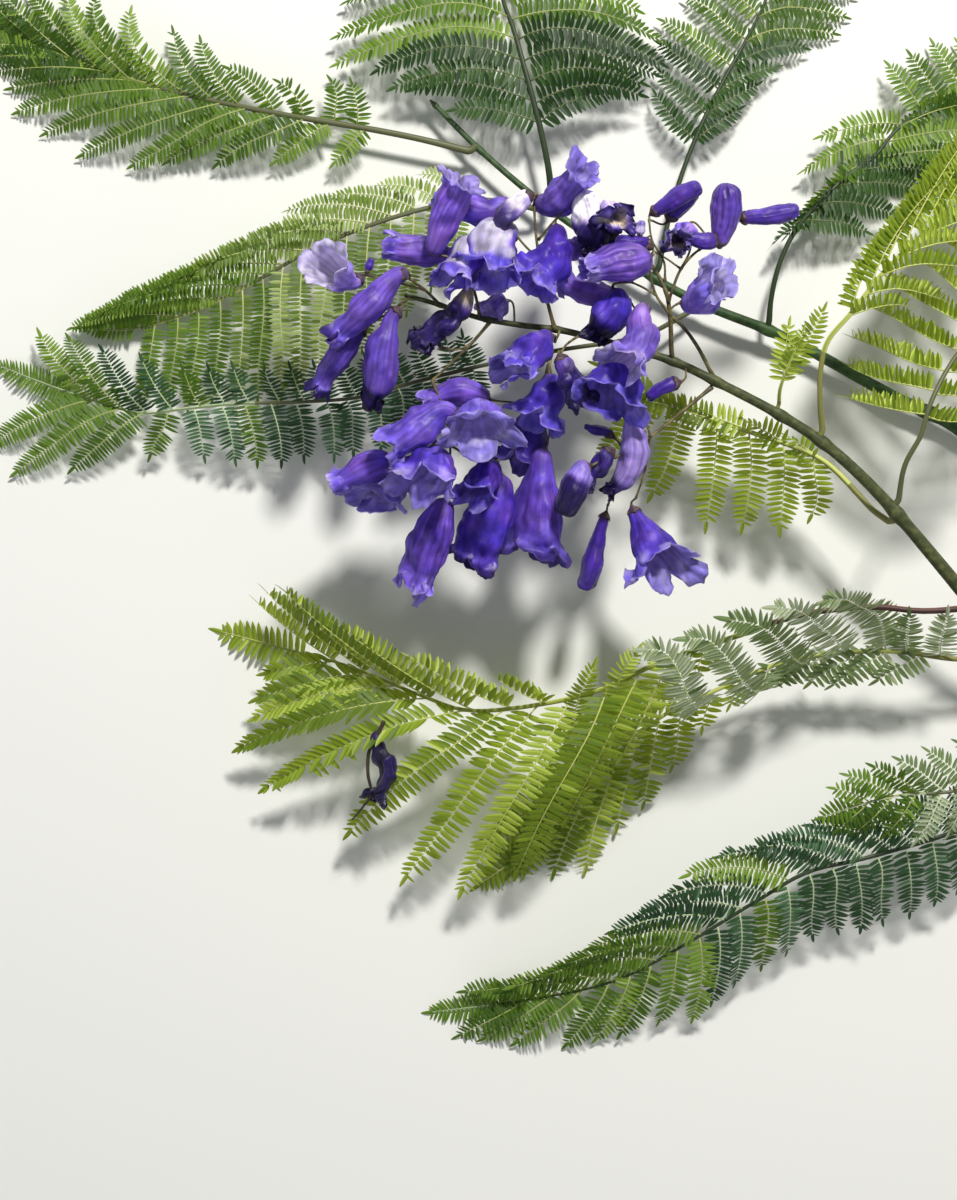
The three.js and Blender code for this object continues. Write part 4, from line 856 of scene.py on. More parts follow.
# leaf: colour family near the shoot and beyond, stalk, then in mm the distance between sprays, between leaflets,
# the leaflets' length, and how thick the rib is
LOOKS = {
    "leaf_middle_long": ("bright", "bright", "brown", 16.0, 2.9, 9.6, 0.6),
    "leaf_middle_under": ("bright", "bright", "olive", 14.0, 2.6, 8.6, 0.56),
    "leaf_lower_long": ("dark", "green", "night", 11.6, 1.85, 7.6, 0.48),
    "leaf_lower_short": ("silver", "green", "dusk", 10.5, 1.9, 7.0, 0.42),
    "leaf_bright_upper": ("bright", "bright", "olive", 12.0, 2.3, 8.4, 0.52),
    "leaf_right_edge": ("bright", "bright", "dusk", 11.0, 2.3, 9.2, 0.52),
    "leaf_under_panicle": ("bright", "bright", "olive", 15.5, 2.3, 8.4, 0.6),
    "leaf_young": ("bright", "bright", "olive", 4.6, 2.6, 6.2, 0.4),
    "leaf_rear_left": ("green", "green", "dusk", 12.6, 1.8, 6.8, 0.66),
    "leaf_mid_left": ("fresh", "green", "dusk", 10.6, 1.8, 5.5, 0.52),
    "leaf_dark_left": ("dark", "green", "dusk", 11.4, 1.55, 7.4, 0.46),
    "leaf_rear_top": ("deep", "green", "night", 10.4, 2.2, 7.4, 0.66),
    "leaf_rear_mid": ("deep", "green", "night", 12.0, 1.95, 6.2, 0.52),
    "leaf_rear_right": ("deep", "green", "night", 10.6, 1.9, 7.0, 0.52),
}
# sprays that stand up from their leaf, from foot to tip
STANDING = {
    "leaf_middle_under": [
        ([[640, 738, 15], [619, 713, 34], [616, 700, 46], [622, 672, 56], [636, 653, 58]], 0, 1.0),
        ([[590, 765, 14], [574, 730, 34], [578, 700, 46], [586, 682, 52], [593, 668, 54]], 0, 0.95),
        ([[705, 694, 23], [698, 708, 40], [689, 698, 52], [677, 668, 62], [664, 652, 65], [646, 650, 62]], 4, 1.25),
        ([[768, 669, 26], [758, 692, 42], [743, 682, 54], [725, 656, 64], [708, 640, 67], [688, 639, 64]], 4, 1.25),
        ([[812, 657, 28], [802, 664, 42], [786, 650, 56], [771, 633, 66], [757, 625, 69], [730, 620, 66]], 4, 1.25),
        ([[846, 654, 30], [834, 638, 44], [817, 624, 58], [801, 612, 68], [789, 609, 70], [776, 608, 67]], 4, 1.2),
        ([[886, 651, 31], [878, 616, 48], [860, 607, 60], [847, 600, 68], [836, 599, 69], [824, 602, 66]], 4, 1.15),
        ([[906, 653, 31], [907, 638, 44], [909, 616, 54]], 4, 0.95), ([[940, 656, 30], [941, 642, 44], [947, 616, 54]], 4, 0.95)],
    "leaf_young": [([[782, 384, 67], [785, 352, 73], [789, 326, 76]], 0, 1.0), ([[785, 374, 70], [805, 345, 75], [823, 311, 78]], 0, 1.0),
                   ([[785, 376, 70], [796, 350, 74], [803, 331, 77]], 0, 0.8)],
}
# sprays seen from their side, with both rows of leaflets raised: how far, and the way they rise
RAISED = {("leaf_bright_upper", "a"): (1.0, (-0.4, 1, 0)), ("leaf_bright_upper", "b"): (1.05, (0, 1, 0)),
          ("leaf_right_edge", "a"): (0.95, (0.2, 1, 0)), ("leaf_right_edge", "b"): (0.8, (0.4, 1, 0)),
          ("leaf_middle_long", "b"): (0.85, (0.4, 1, 0))}
# leaflets that turn to one line, and how much
LAID = {("leaf_middle_long", "a"): ((1, 0.1, 0), 0.42), ("leaf_middle_under", "a"): ((1, 0.1, 0), 0.3),
        ("leaf_under_panicle", "a"): ((1, -0.08, 0), 0.5), ("leaf_mid_left", "a"): ((1, -0.05, 0), 0.55), ("leaf_mid_left", "b"): ((0, 1, 0), 0.3),
        ("leaf_dark_left", "a"): ((1, -0.25, 0), 0.3), ("leaf_dark_left", "b"): ((1, -0.25, 0), 0.3)}
# rows of sprays that catch the most light
LIT = {("leaf_bright_upper", "a"), ("leaf_bright_upper", "b"), ("leaf_right_edge", "a"), ("leaf_right_edge", "b"), ("leaf_mid_left", "b")}
BEARERS = {name: spline([at(p) for p in LIMBS[name][0]], 24) for name in ("flowering_shoot", "leafy_shoot", "cut_stub")}


def grow_leaf(name, spec, seed):
    g = np.random.default_rng(seed)
    family, beyond, stalk, pitch, gap, size, thick = LOOKS[name]
    mats = MATS[family] + MATS["silver"] + MATS[beyond]
    # each stalk tone with a darker one, painted shade on the stalk's lower side
    tone = {"brown": ("brown", "brown_low"), "olive": ("olive", "dusk"), "dusk": ("dusk", "night"), "night": ("night", "night")}[stalk]
    rib_mats = [RIBS[family], RIBS["groove_" + family], RIBS[tone[0]], RIBS[tone[1]], RIBS["silver"], RIBS[beyond]]
    change = {"leaf_lower_long": 0.52, "leaf_dark_left": 0.74, "leaf_rear_right": 0.5}.get(name, 0.6)
    bag, ribs = Bag(), Bag()
    grid = spline(spec["rib"])
    rib = at(grid)
    total = lengths(rib)[-1]
    small = total < 60
    start = spec["a"][1][0] if not small else 0.28
    end = 0.88 if not small else 0.72
    count = max(4, int(round(total * (end - start) / pitch)))
    places = start + (end - start) * (np.arange(count) + 0.35) / count
    # the rib itself, from inside the shoot that bears it
    near = min((b[np.linalg.norm(b - rib[0], axis=1).argmin()] for b in BEARERS.values()), key=lambda b: np.linalg.norm(b - rib[0]))
    d0 = unit(rib[3] - rib[0])
    lead = np.linspace(0, 1, 8)[:-1, None]
    mid = near * 0.45 + (rib[0] - d0 * np.linalg.norm(rib[0] - near) * 0.4) * 0.55
    whole = np.vstack([(1 - lead) ** 2 * near + 2 * lead * (1 - lead) * mid + lead ** 2 * rib[0], rib]) if np.linalg.norm(near - rib[0]) > 0.5 else rib
    q = along(whole, np.concatenate([np.linspace(0, 0.05, 9)[:-1], np.linspace(0.05, 1, 70)]))
    s = lengths(q)
    r = np.interp(s / s[-1], [0, 0.03, 0.07, 0.4, 0.7, 0.93, 1], [2.7, 2.6, 2.2, 1.9, 1.4, 0.85, 0.4]) * thick
    sides = 12
    noise = wave_noise(seed, 4, 0.2, 0.6)
    v, f = tube(q, r, sides, lambda a, w: 0.05 * noise(a, w) - 0.16 * np.interp(a, s, r) * np.exp(-((np.cos(w) - 1) / 0.10) ** 2))
    cut = s[:-1] / s[-1] < {"brown": 0.27, "olive": 0.2, "dusk": 0.62, "night": 0.9}[stalk]
    top = np.isin(np.arange(sides), (0, sides - 1))
    low = np.isin(np.arange(sides), range(4, 8))
    # painted shade: the stalk's lower sides take the darker tone; along the rest, the groove on top and the lower sides
    # take the family's darker copy
    slot = np.where(cut[:, None], np.where(low[None], 3, 2), np.where(top[None] | low[None], 1, 0)).ravel()
    ribs.add(v, [f[0]], slot)
    ribs.add(v, [f[1]], 2)

    def spray(p, ref, shade, base_slot, length, seed2, r0=0.42, roll=None, lift=None, tight=1.0, slim=1.0, rib_slot=0, raised=None,
              lay=None, angles=(84, 74, 54)):
        g2 = np.random.default_rng(seed2)
        low = p[:, 2].min()
        room = np.clip((low - 1.0) / 9.0, 0.12, 1.0)
        face = (0, 0, 1)
        if raised is not None and low > 2.5:
            # the lower the spray, the steeper its leaflets stand
            lift = max(raised[0] + g2.uniform(-0.12, 0.12), math.acos(min(0.95, (low - 0.5) / length)))
            ref, face, roll = (0, 0, 1.0), raised[1], g2.uniform(-0.1, 0.25)
        roll = g2.normal(0, 0.30) * room if roll is None else roll
        lift = (g2.uniform(-0.16, 0.30) * room) if lift is None else lift
        feather(bag, ribs, p, ref, gap * tight, length, shade, base_slot, g2, rib_slot, r0 * (0.6 if small else 1), roll=roll,
                lift=lift, slim=slim, bare=0.01, face=face, lay=lay, angles=angles)

    for key in ("a", "b"):
        for i, t in enumerate(places):
            t = float(np.clip(t + g.normal(0, 0.003) + (0.005 if key == "a" else -0.004), start, end))
            if small or (key == "b" and ((name == "leaf_middle_long" and t < 0.56) or (name == "leaf_middle_under" and t < 0.5))):
                continue
            c = along(grid, [t])[0]
            off = lookup(spec[key], t)
            reach = g.uniform(0.95, 1.04)
            a, b = at(c), at(c + off[:3] * reach)
            d = b - a
            ln = np.linalg.norm(d)
            if ln < 6:
                continue
            rt = unit(along(rib, [min(t + 0.02, 1)])[0] - along(rib, [max(t - 0.02, 0)])[0])
            rise = np.array([0, 0, 1.0]) * ln * (0.05 + g.uniform(-0.02, 0.05) + 0.10 * max(0.0, off[2] / 36))
            w = np.linspace(0, 1, 18)[:, None]
            wig = rt * ln * g.normal(0, 0.012) * np.sin(2 * math.pi * w)
            if len(off) > 3:
                half = at(c + np.array([off[3], off[4], off[2] * 0.4])) - a
                bow = half * reach - d * 0.5
            else:
                # it leaves the rib a little more squarely than it ends
                bow = -rt * ln * g.uniform(0.02, 0.07) + np.array([0, 0.012, 0]) * ln
            p = a + d * w + (bow + rise) * (4 * w * (1 - w)) + wig
            length = size * min(1.0, 0.8 + 0.2 * ln / 45)
            late = t + g.normal(0, 0.05) > change
            slot = 8 if late else 0
            edge = 5 if late else 0
            if name == "leaf_middle_under" and key == "a" and t < 0.44:
                slot, edge = 4, 4
            # painted light: the sprays in LIT take only the lighter shades
            tone_ = int(g.choice([0, 0, 2])) if (name, key) in LIT else int(g.integers(0, 4))
            spray(p, rt, tone_, slot, length, int(g.integers(1 << 30)), rib_slot=edge, raised=RAISED.get((name, key)),
                  lay=LAID.get((name, key)))
    for i, (row, slot, big) in enumerate(STANDING.get(name, ())):
        p = spline([at(x) for x in row], 12)
        silver = slot == 4
        spray(p, (0.8, 0.6, 0.15) if len(row) > 3 else (1, 0, 0), i % 3 if silver else (2, 0)[i % 2], slot, size * big, 700 + i,
              roll=0.12 if silver else 0.25, lift=0.12, tight=0.66 if silver else 0.8, slim=1.3 if silver else 1.0, rib_slot=4 if silver else 0,
              angles=(78, 72, 50))
        # its foot on the rib
        foot = rib[np.linalg.norm(rib - p[0], axis=1).argmin()]
        v, f = tube(np.vstack([foot, p[0]]), [0.5, 0.42], 6)
        ribs.add(v, f, 4 if silver else 0)
    # the rib's end carries leaflets itself
    p = along(rib, np.linspace(end, 1, 12))
    ref = np.cross(unit(p[-1] - p[0]), np.array([0, 0, 1.0]))
    if not small:
        spray(p, ref, 0, 8, size * 0.95, 333 + seed, r0=0.34, roll=0.0, lift=0.1, rib_slot=5)
    one = bag.object(name + "_leaflets", mats)
    two = ribs.object(name + "_ribs", rib_mats)
    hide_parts(name)
    return one, two


made = {}
for i, (name, spec) in enumerate(LEAVES.items()):
    made[name] = grow_leaf(name, spec, 100 + i)


# ---------------------------------------------------------------- shoots
def shoot(name, mat, sides, nodes=(), rib_depth=0.10, seed=1, flat_start=False):
    pts, r0, r1 = LIMBS[name]
    # each shoot starts inside the one that bears it
    root = {"panicle_spur": [[673, 362, 62.5]], "leafy_shoot": [[1127, 802, 9.3]], "flowering_shoot": [[1117, 795, 10.9]]}.get(name, [])
    pts = root + pts
    path = spline([at(p) for p in pts], 40)
    total = lengths(path)[-1]
    q = along(path, np.linspace(0, 1, max(24, int(total / 1.3))))
    s = lengths(q)
    r = r0 + (r1 - r0) * s / s[-1]
    if name == "leafy_shoot":
        # it ends in a closed bud
        x = np.clip((s[-1] - s) / 9.0, 0, 1)
        r = r * (0.30 + 0.70 * np.sqrt(x)) + 0.55 * np.exp(-((s[-1] - s - 3.2) / 1.6) ** 2)
    if name == "cut_stub":
        # the wood swells where the two green shoots leave it
        r = r * (1 + 0.10 * np.exp(-((s / s[-1] - 0.72) / 0.16) ** 2) - 0.10 * np.exp(-((s / s[-1] - 1.0) / 0.10) ** 2))
    swell = np.zeros_like(r)
    for u, v, z in nodes:
        d = np.linalg.norm(q - at([u, v, z]), axis=1)
        k = d.argmin()
        swell += 0.26 * r[k] * np.exp(-((s - s[k]) / (1.5 * r[k])) ** 2)
    noise = wave_noise(seed, 8, 0.05, 0.5)
    fine = wave_noise(seed + 1, 8, 0.5, 2.2)

    def relief(a, w):
        rr = np.interp(a, s, r)
        return rr * (0.03 * noise(a, w) + 0.018 * fine(a, w) + rib_depth * 0.22 * np.cos(6 * w + 0.02 * a))
    v, f = tube(q, r + swell, sides, relief)
    if name == "cut_stub":
        v[-2] = q[0] + (q[1] - q[0]) * 0.3
    bag = Bag()
    bag.add(v, f)
    ob = bag.object(name + "_skin", [mat])
    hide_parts(name)
    return ob


NODES_MAIN = [[897, 514, 53], [822, 442, 58], [780, 415, 60], [715, 381, 62], [672, 361, 63], [600, 340, 64],
              [555, 329, 64], [488, 320, 63.5], [440, 305, 62], [985, 618, 41], [1030, 675, 32], [1060, 715, 24],
              [1085, 750, 18]]
NODES_REAR = [[480, 150, 11], [545, 205, 12], [655, 278, 12], [700, 303, 12], [768, 330, 11], [930, 412, 8.5],
              [1040, 515, 7], [1100, 655, 7.2]]
shoot("flowering_shoot", stem_green, 28, NODES_MAIN, seed=5)
shoot("leafy_shoot", stem_rear, 28, NODES_REAR, seed=7)
shoot("cut_stub", stub_bark, 48, [[1140, 820, 7.6]], rib_depth=0.25, seed=9)


def cut_face():
    """The sawn end of the wood: pith, growth rings, and a thin skin of bark."""
    pts, r0, _ = LIMBS["cut_stub"]
    a, b = at(pts[0]), at(pts[1])
    d = unit(a - b)
    n = unit(np.cross(d, [0.0, 0.0, 1.0]))
    m = np.cross(d, n)
    g = np.random.default_rng(31)
    rings, k = 26, 48
    w = 2 * math.pi * np.arange(k) / k
    wave = 0.03 * np.cos(2 * w + 0.8) + 0.02 * np.cos(3 * w + 2.1) + 0.012 * np.cos(5 * w)
    v, tints = [], []
    for i in range(1, rings + 1):
        x = i / rings
        rad = 0.955 * r0 * x * (1 + wave * x)
        lift = 0.22 - 0.16 * x ** 6 + 0.012 * np.sin(9 * w + i) * x
        v.append(a + d * lift[:, None] + n * (rad * np.cos(w) + 0.10 * (1 - x))[:, None] + m * (rad * np.sin(w))[:, None])
        if x < 0.12:
            c = np.array([128, 98, 62.0])
        elif x > 0.93:
            c = np.array([92, 84, 52.0])
        else:
            c = np.array([206, 184, 134.0]) if int(x * 17) % 2 else np.array([180, 152, 102.0])
        crack = 0.82 + 0.18 * (np.abs(np.sin(2.5 * w + 0.6)) > 0.08)
        tints.append(c * crack[:, None] * g.uniform(0.95, 1.05, (k, 1)))
    # the edge turns down to the bark
    v.append(a - d * 0.5 + n * (0.97 * r0 * (1 + wave) * np.cos(w))[:, None] + m * (0.97 * r0 * (1 + wave) * np.sin(w))[:, None])
    tints.append(np.full((k, 3), [84.0, 72, 54]))
    v, tints = np.concatenate(v), np.concatenate(tints) / 255
    lin = np.where(tints <= 0.04045, tints / 12.92, ((tints + 0.055) / 1.055) ** 2.4)
    quads = grid_faces(rings + 1, k, flip=True)
    v, lin = np.vstack([v, a + d * 0.22]), np.vstack([lin, lin[:1]])
    kk = np.arange(k)
    middle = np.stack([np.full(k, len(v) - 1), kk, (kk + 1) % k], 1)
    bag = Bag()
    bag.add(v, [quads, middle], 0, lin, np.zeros((len(v), 3)))
    ob = bag.object("cut_face", [wood_face], tinted=True)


cut_face()
shoot("panicle_spur", twig_green, 14, [[666, 292, 74], [641, 255, 72]], seed=11)

# twigs, flower stalks and calyxes
twigs = Bag()
twig_paths = []
for i, (pts, r0, r1) in enumerate(TWIGS):
    path = spline([at(p) for p in pts], 16)
    q = along(path, np.linspace(0, 1, max(8, int(lengths(path)[-1] / 1.5))))
    twig_paths.append(q)
    s = lengths(q) / max(lengths(q)[-1], 1e-6)
    r = r0 + (r1 - r0) * s + 0.28 * np.exp(-(s / 0.06) ** 2) + 0.22 * np.exp(-((s - 1) / 0.05) ** 2)
    n = wave_noise(40 + i, 5, 0.3, 1.2)
    v, f = tube(q, r, 9, lambda a, w: 0.05 * n(a, w))
    twigs.add(v, f)


# ---------------------------------------------------------------- blossom
def mix(a, b, w):
    w = np.asarray(w, float)[..., None]
    return a * (1 - w) + np.asarray(b, float) * w


def ramp(x, a, b):
    w = np.clip((np.asarray(x, float) - a) / (b - a), 0, 1)
    return w * w * (3 - 2 * w)


def tint(c):
    c = np.clip(c, 0, 255) / 255
    return np.where(c <= 0.04045, c / 12.92, ((c + 0.055) / 1.055) ** 2.4)


INDIGO, INK = (38, 20, 96), (16, 9, 42)
LOBE_COLS, LOBE_ROWS = 12, 10


def tube_frame(spec, rows, g):
    """The middle line, its frame and the half width along a flower."""
    ctrl = np.array([at(p) for p in spec["p"]])
    path = spline(ctrl, 24)
    s = lengths(path)
    knots = s[np.arange(len(ctrl)) * 24]
    total = s[-1]
    t = np.linspace(0, 1, rows) ** 1.12
    q = along(path, t)
    fine = np.linspace(0, total, 240)
    w = np.interp(fine, knots, spec["w"])
    k = np.exp(-np.linspace(-2, 2, 31) ** 2)
    w = np.convolve(np.pad(w, 15, mode="reflect", reflect_type="odd"), k / k.sum(), mode="valid")
    r = np.interp(t * total, fine, w)
    x = np.clip(t * total / 2.6, 0, 1)
    r = np.maximum(r * np.sqrt(1 - (1 - x) ** 2 * 0.92), 0.35) * (1 + (0.10 if spec["k"] == "bell" else 0.04) * ramp(t, 0.1, 0.5))
    tan, n, b = frames(q, up=(0.0, 1.0, 0.35))
    spin = g.normal(0, 0.22) + spec.get("spin", 0.0)
    n, b = n * math.cos(spin) + b * math.sin(spin), b * math.cos(spin) - n * math.sin(spin)
    return q, tan, n, b, r, t, total


def section(th, t, spec, seed, g):
    """How much wider or narrower than round the flower is, at each place."""
    crumple = spec.get("crumple", 1.0) * (1.7 if spec["k"] == "wilt" else 0.5 if spec["k"] == "bud" else 1.0)
    ribs = spec.get("ribs", 1.0)
    noise = wave_noise(seed * 3 + 1, 9, 1.0, 7.0)
    on = ramp(t, 0.12, 0.5)
    e = 1 + on * (0.014 * ribs * np.cos(14 * th + 3 * np.sin(seed) + 0.6 * np.sin(5 * t)) +
                  0.008 * ribs * np.cos(23 * th + seed))
    for c in (246, 294):
        d = (np.degrees(th) - c + 180) % 360 - 180
        e = e - 0.07 * ramp(t, 0.22, 0.45) * np.exp(-(d / 13) ** 2)
    d = (np.degrees(th) - 270 + 180) % 360 - 180
    e = e + 0.045 * ramp(t, 0.22, 0.45) * np.exp(-(d / 16) ** 2)
    e = e + 0.15 * crumple * on * noise(t * 1.0, th)
    sq = (np.abs(np.cos(th)) ** 2.4 + np.abs(np.sin(th)) ** 2.4) ** (-1 / 2.4)
    return e * (1 + (sq - 1) * on), crumple


def colour_tube(th, t, spec, g, seed, place, lit):
    up = lit
    deep, warm, pale, blue = (spec.get(k, 0.0) for k in ("deep", "warm", "pale", "blue"))
    c = np.broadcast_to(np.array([94.0, 64.0, 188.0]), t.shape + (3,)).copy()
    # painted shade: the tube darker on the side that faces away from the light
    c = mix(c, (64, 40, 150), 0.85 * ramp(-up, -0.45, 0.5))
    # painted highlight: a pale band where the tube faces the light, fading out towards the mouth
    c = mix(c, (204, 186, 244), 0.5 * ramp(up, 0.82, 1.0) * ramp(t, 1.05, 0.4))
    hue = space_noise(place, 11.0, seed + 5)
    c = mix(c, (142, 88, 188), 0.6 * np.clip(hue, 0, 1))
    c = mix(c, (76, 62, 200), 0.6 * np.clip(-hue, 0, 1))
    c = mix(c, (72, 42, 156), 0.5 * ramp(space_noise(place, 13.0, seed + 6), 0.1, 1.2))
    own = np.random.default_rng(seed * 13 + 5).normal(0, 1, 2) * spec.get("own", 1.0)
    c = mix(c, (152, 104, 192) if own[0] > 0 else (70, 60, 198), min(0.45, 0.24 * abs(own[0])))
    c = mix(c, (196, 178, 238) if own[1] > 0 else (58, 36, 140), min(0.36, 0.18 * abs(own[1])))
    c = mix(c, (156, 110, 194), 0.8 * warm)
    c = mix(c, (92, 84, 218), 0.7 * blue)
    c = mix(c, (220, 208, 246), pale)
    c = mix(c, (62, 34, 142), np.clip(0.8 * deep, 0, 0.96))
    streak = space_noise(place, 6.0, seed + 41)
    # pale streaks, laid only on the side that faces the light, are a painted highlight; the dark streaks are the
    # petal's own blotches
    c = mix(c, (210, 194, 246), 0.34 * ramp(streak, 0.55, 1.3) * ramp(up, 0.1, 0.8))
    c = mix(c, (48, 28, 128), 0.34 * ramp(-streak, 0.5, 1.3))
    ribs = spec.get("ribs", 1.0)
    line = np.cos(14 * th + 3 * np.sin(seed) + 0.6 * np.sin(5 * t)) * 0.5 + 0.5
    thin = np.cos(23 * th + seed) * 0.5 + 0.5
    on = ramp(t, 0.10, 0.45)
    c = mix(c, (70, 42, 140), np.clip(0.22 * ribs * on * line ** 3 + 0.10 * ribs * on * thin ** 4, 0, 0.7))
    c = mix(c, (112, 84, 150), 0.5 * ramp(t, 0.18, 0.05))
    c = mix(c, (96, 70, 128), 0.55 * ramp(t, 0.07, 0.0))
    return c


def age_and_highlight(c, t, m, th, spec, place, seed, up):
    """Weathering, and a painted highlight where the flower faces the light, that reach over the tube and the lobes
    alike: m is 0 on the tube and grows on a lobe.
    """
    blot = space_noise(place, 8.0, seed + 9)
    dark = spec.get("dark", 0.0)
    if dark:
        w = dark * np.clip(0.15 + 0.75 * max(0.0, dark - 0.8) * 5 + 0.95 * ramp(t, 0.15, 0.75) + 0.25 * blot, 0, 1)
        c = mix(c, INDIGO, np.clip(w, 0, 0.92))
        c = mix(c, INK, np.clip(dark * (0.55 * ramp(m, 0.0, 0.8) + 0.35 * np.clip(blot, 0, 1)), 0, 0.85))
        c = mix(c, (150, 138, 190), 0.5 * dark * ramp(space_noise(place, 3.4, seed + 13), 0.75, 1.3))
    if spec.get("ink"):
        c = mix(c, INK, spec["ink"] * (0.6 + 0.4 * np.clip(0.5 + blot, 0, 1)))
    tip = spec.get("tip", 0.0)
    if tip:
        start = spec.get("tipfrom", 0.86)
        x = t + 0.35 * m + 0.05 * blot
        c = mix(c, INDIGO, tip * ramp(x, start - 0.03, start + 0.13))
        c = mix(c, INK, 0.6 * tip * ramp(x, start + 0.08, start + 0.4))
    # painted highlight: a near-white patch on the side that faces the light
    top = spec.get("top", 0.0)
    if top:
        w = top * (ramp(up + 0.2 * blot + spec.get("topwide", 0.0), 0.6, 0.92) if spec["k"] == "wilt" else ramp(up + 0.2 * blot, 0.3, 0.8)) * ramp(t, spec.get("toplow", 1.5) + 0.1, spec.get("toplow", 1.5) - 0.1)
        c = mix(c, (246, 238, 252), 0.96 * w * ramp(m, 0.3, 0.0))
    foot = spec.get("foot", 0.0)
    if foot:
        c = mix(c, (190, 176, 142), foot * ramp(t, 0.42, 0.22))
    # faint brown specks where the petal has been rubbed
    speck = space_noise(place, 2.4, seed + 21) * np.clip(space_noise(place, 14.0, seed + 22), 0, 1)
    c = mix(c, (120, 92, 110), 0.35 * ramp(speck, 0.75, 1.3))
    return c * (1 + 0.09 * space_noise(place, 5.0, seed + 31))[..., None]


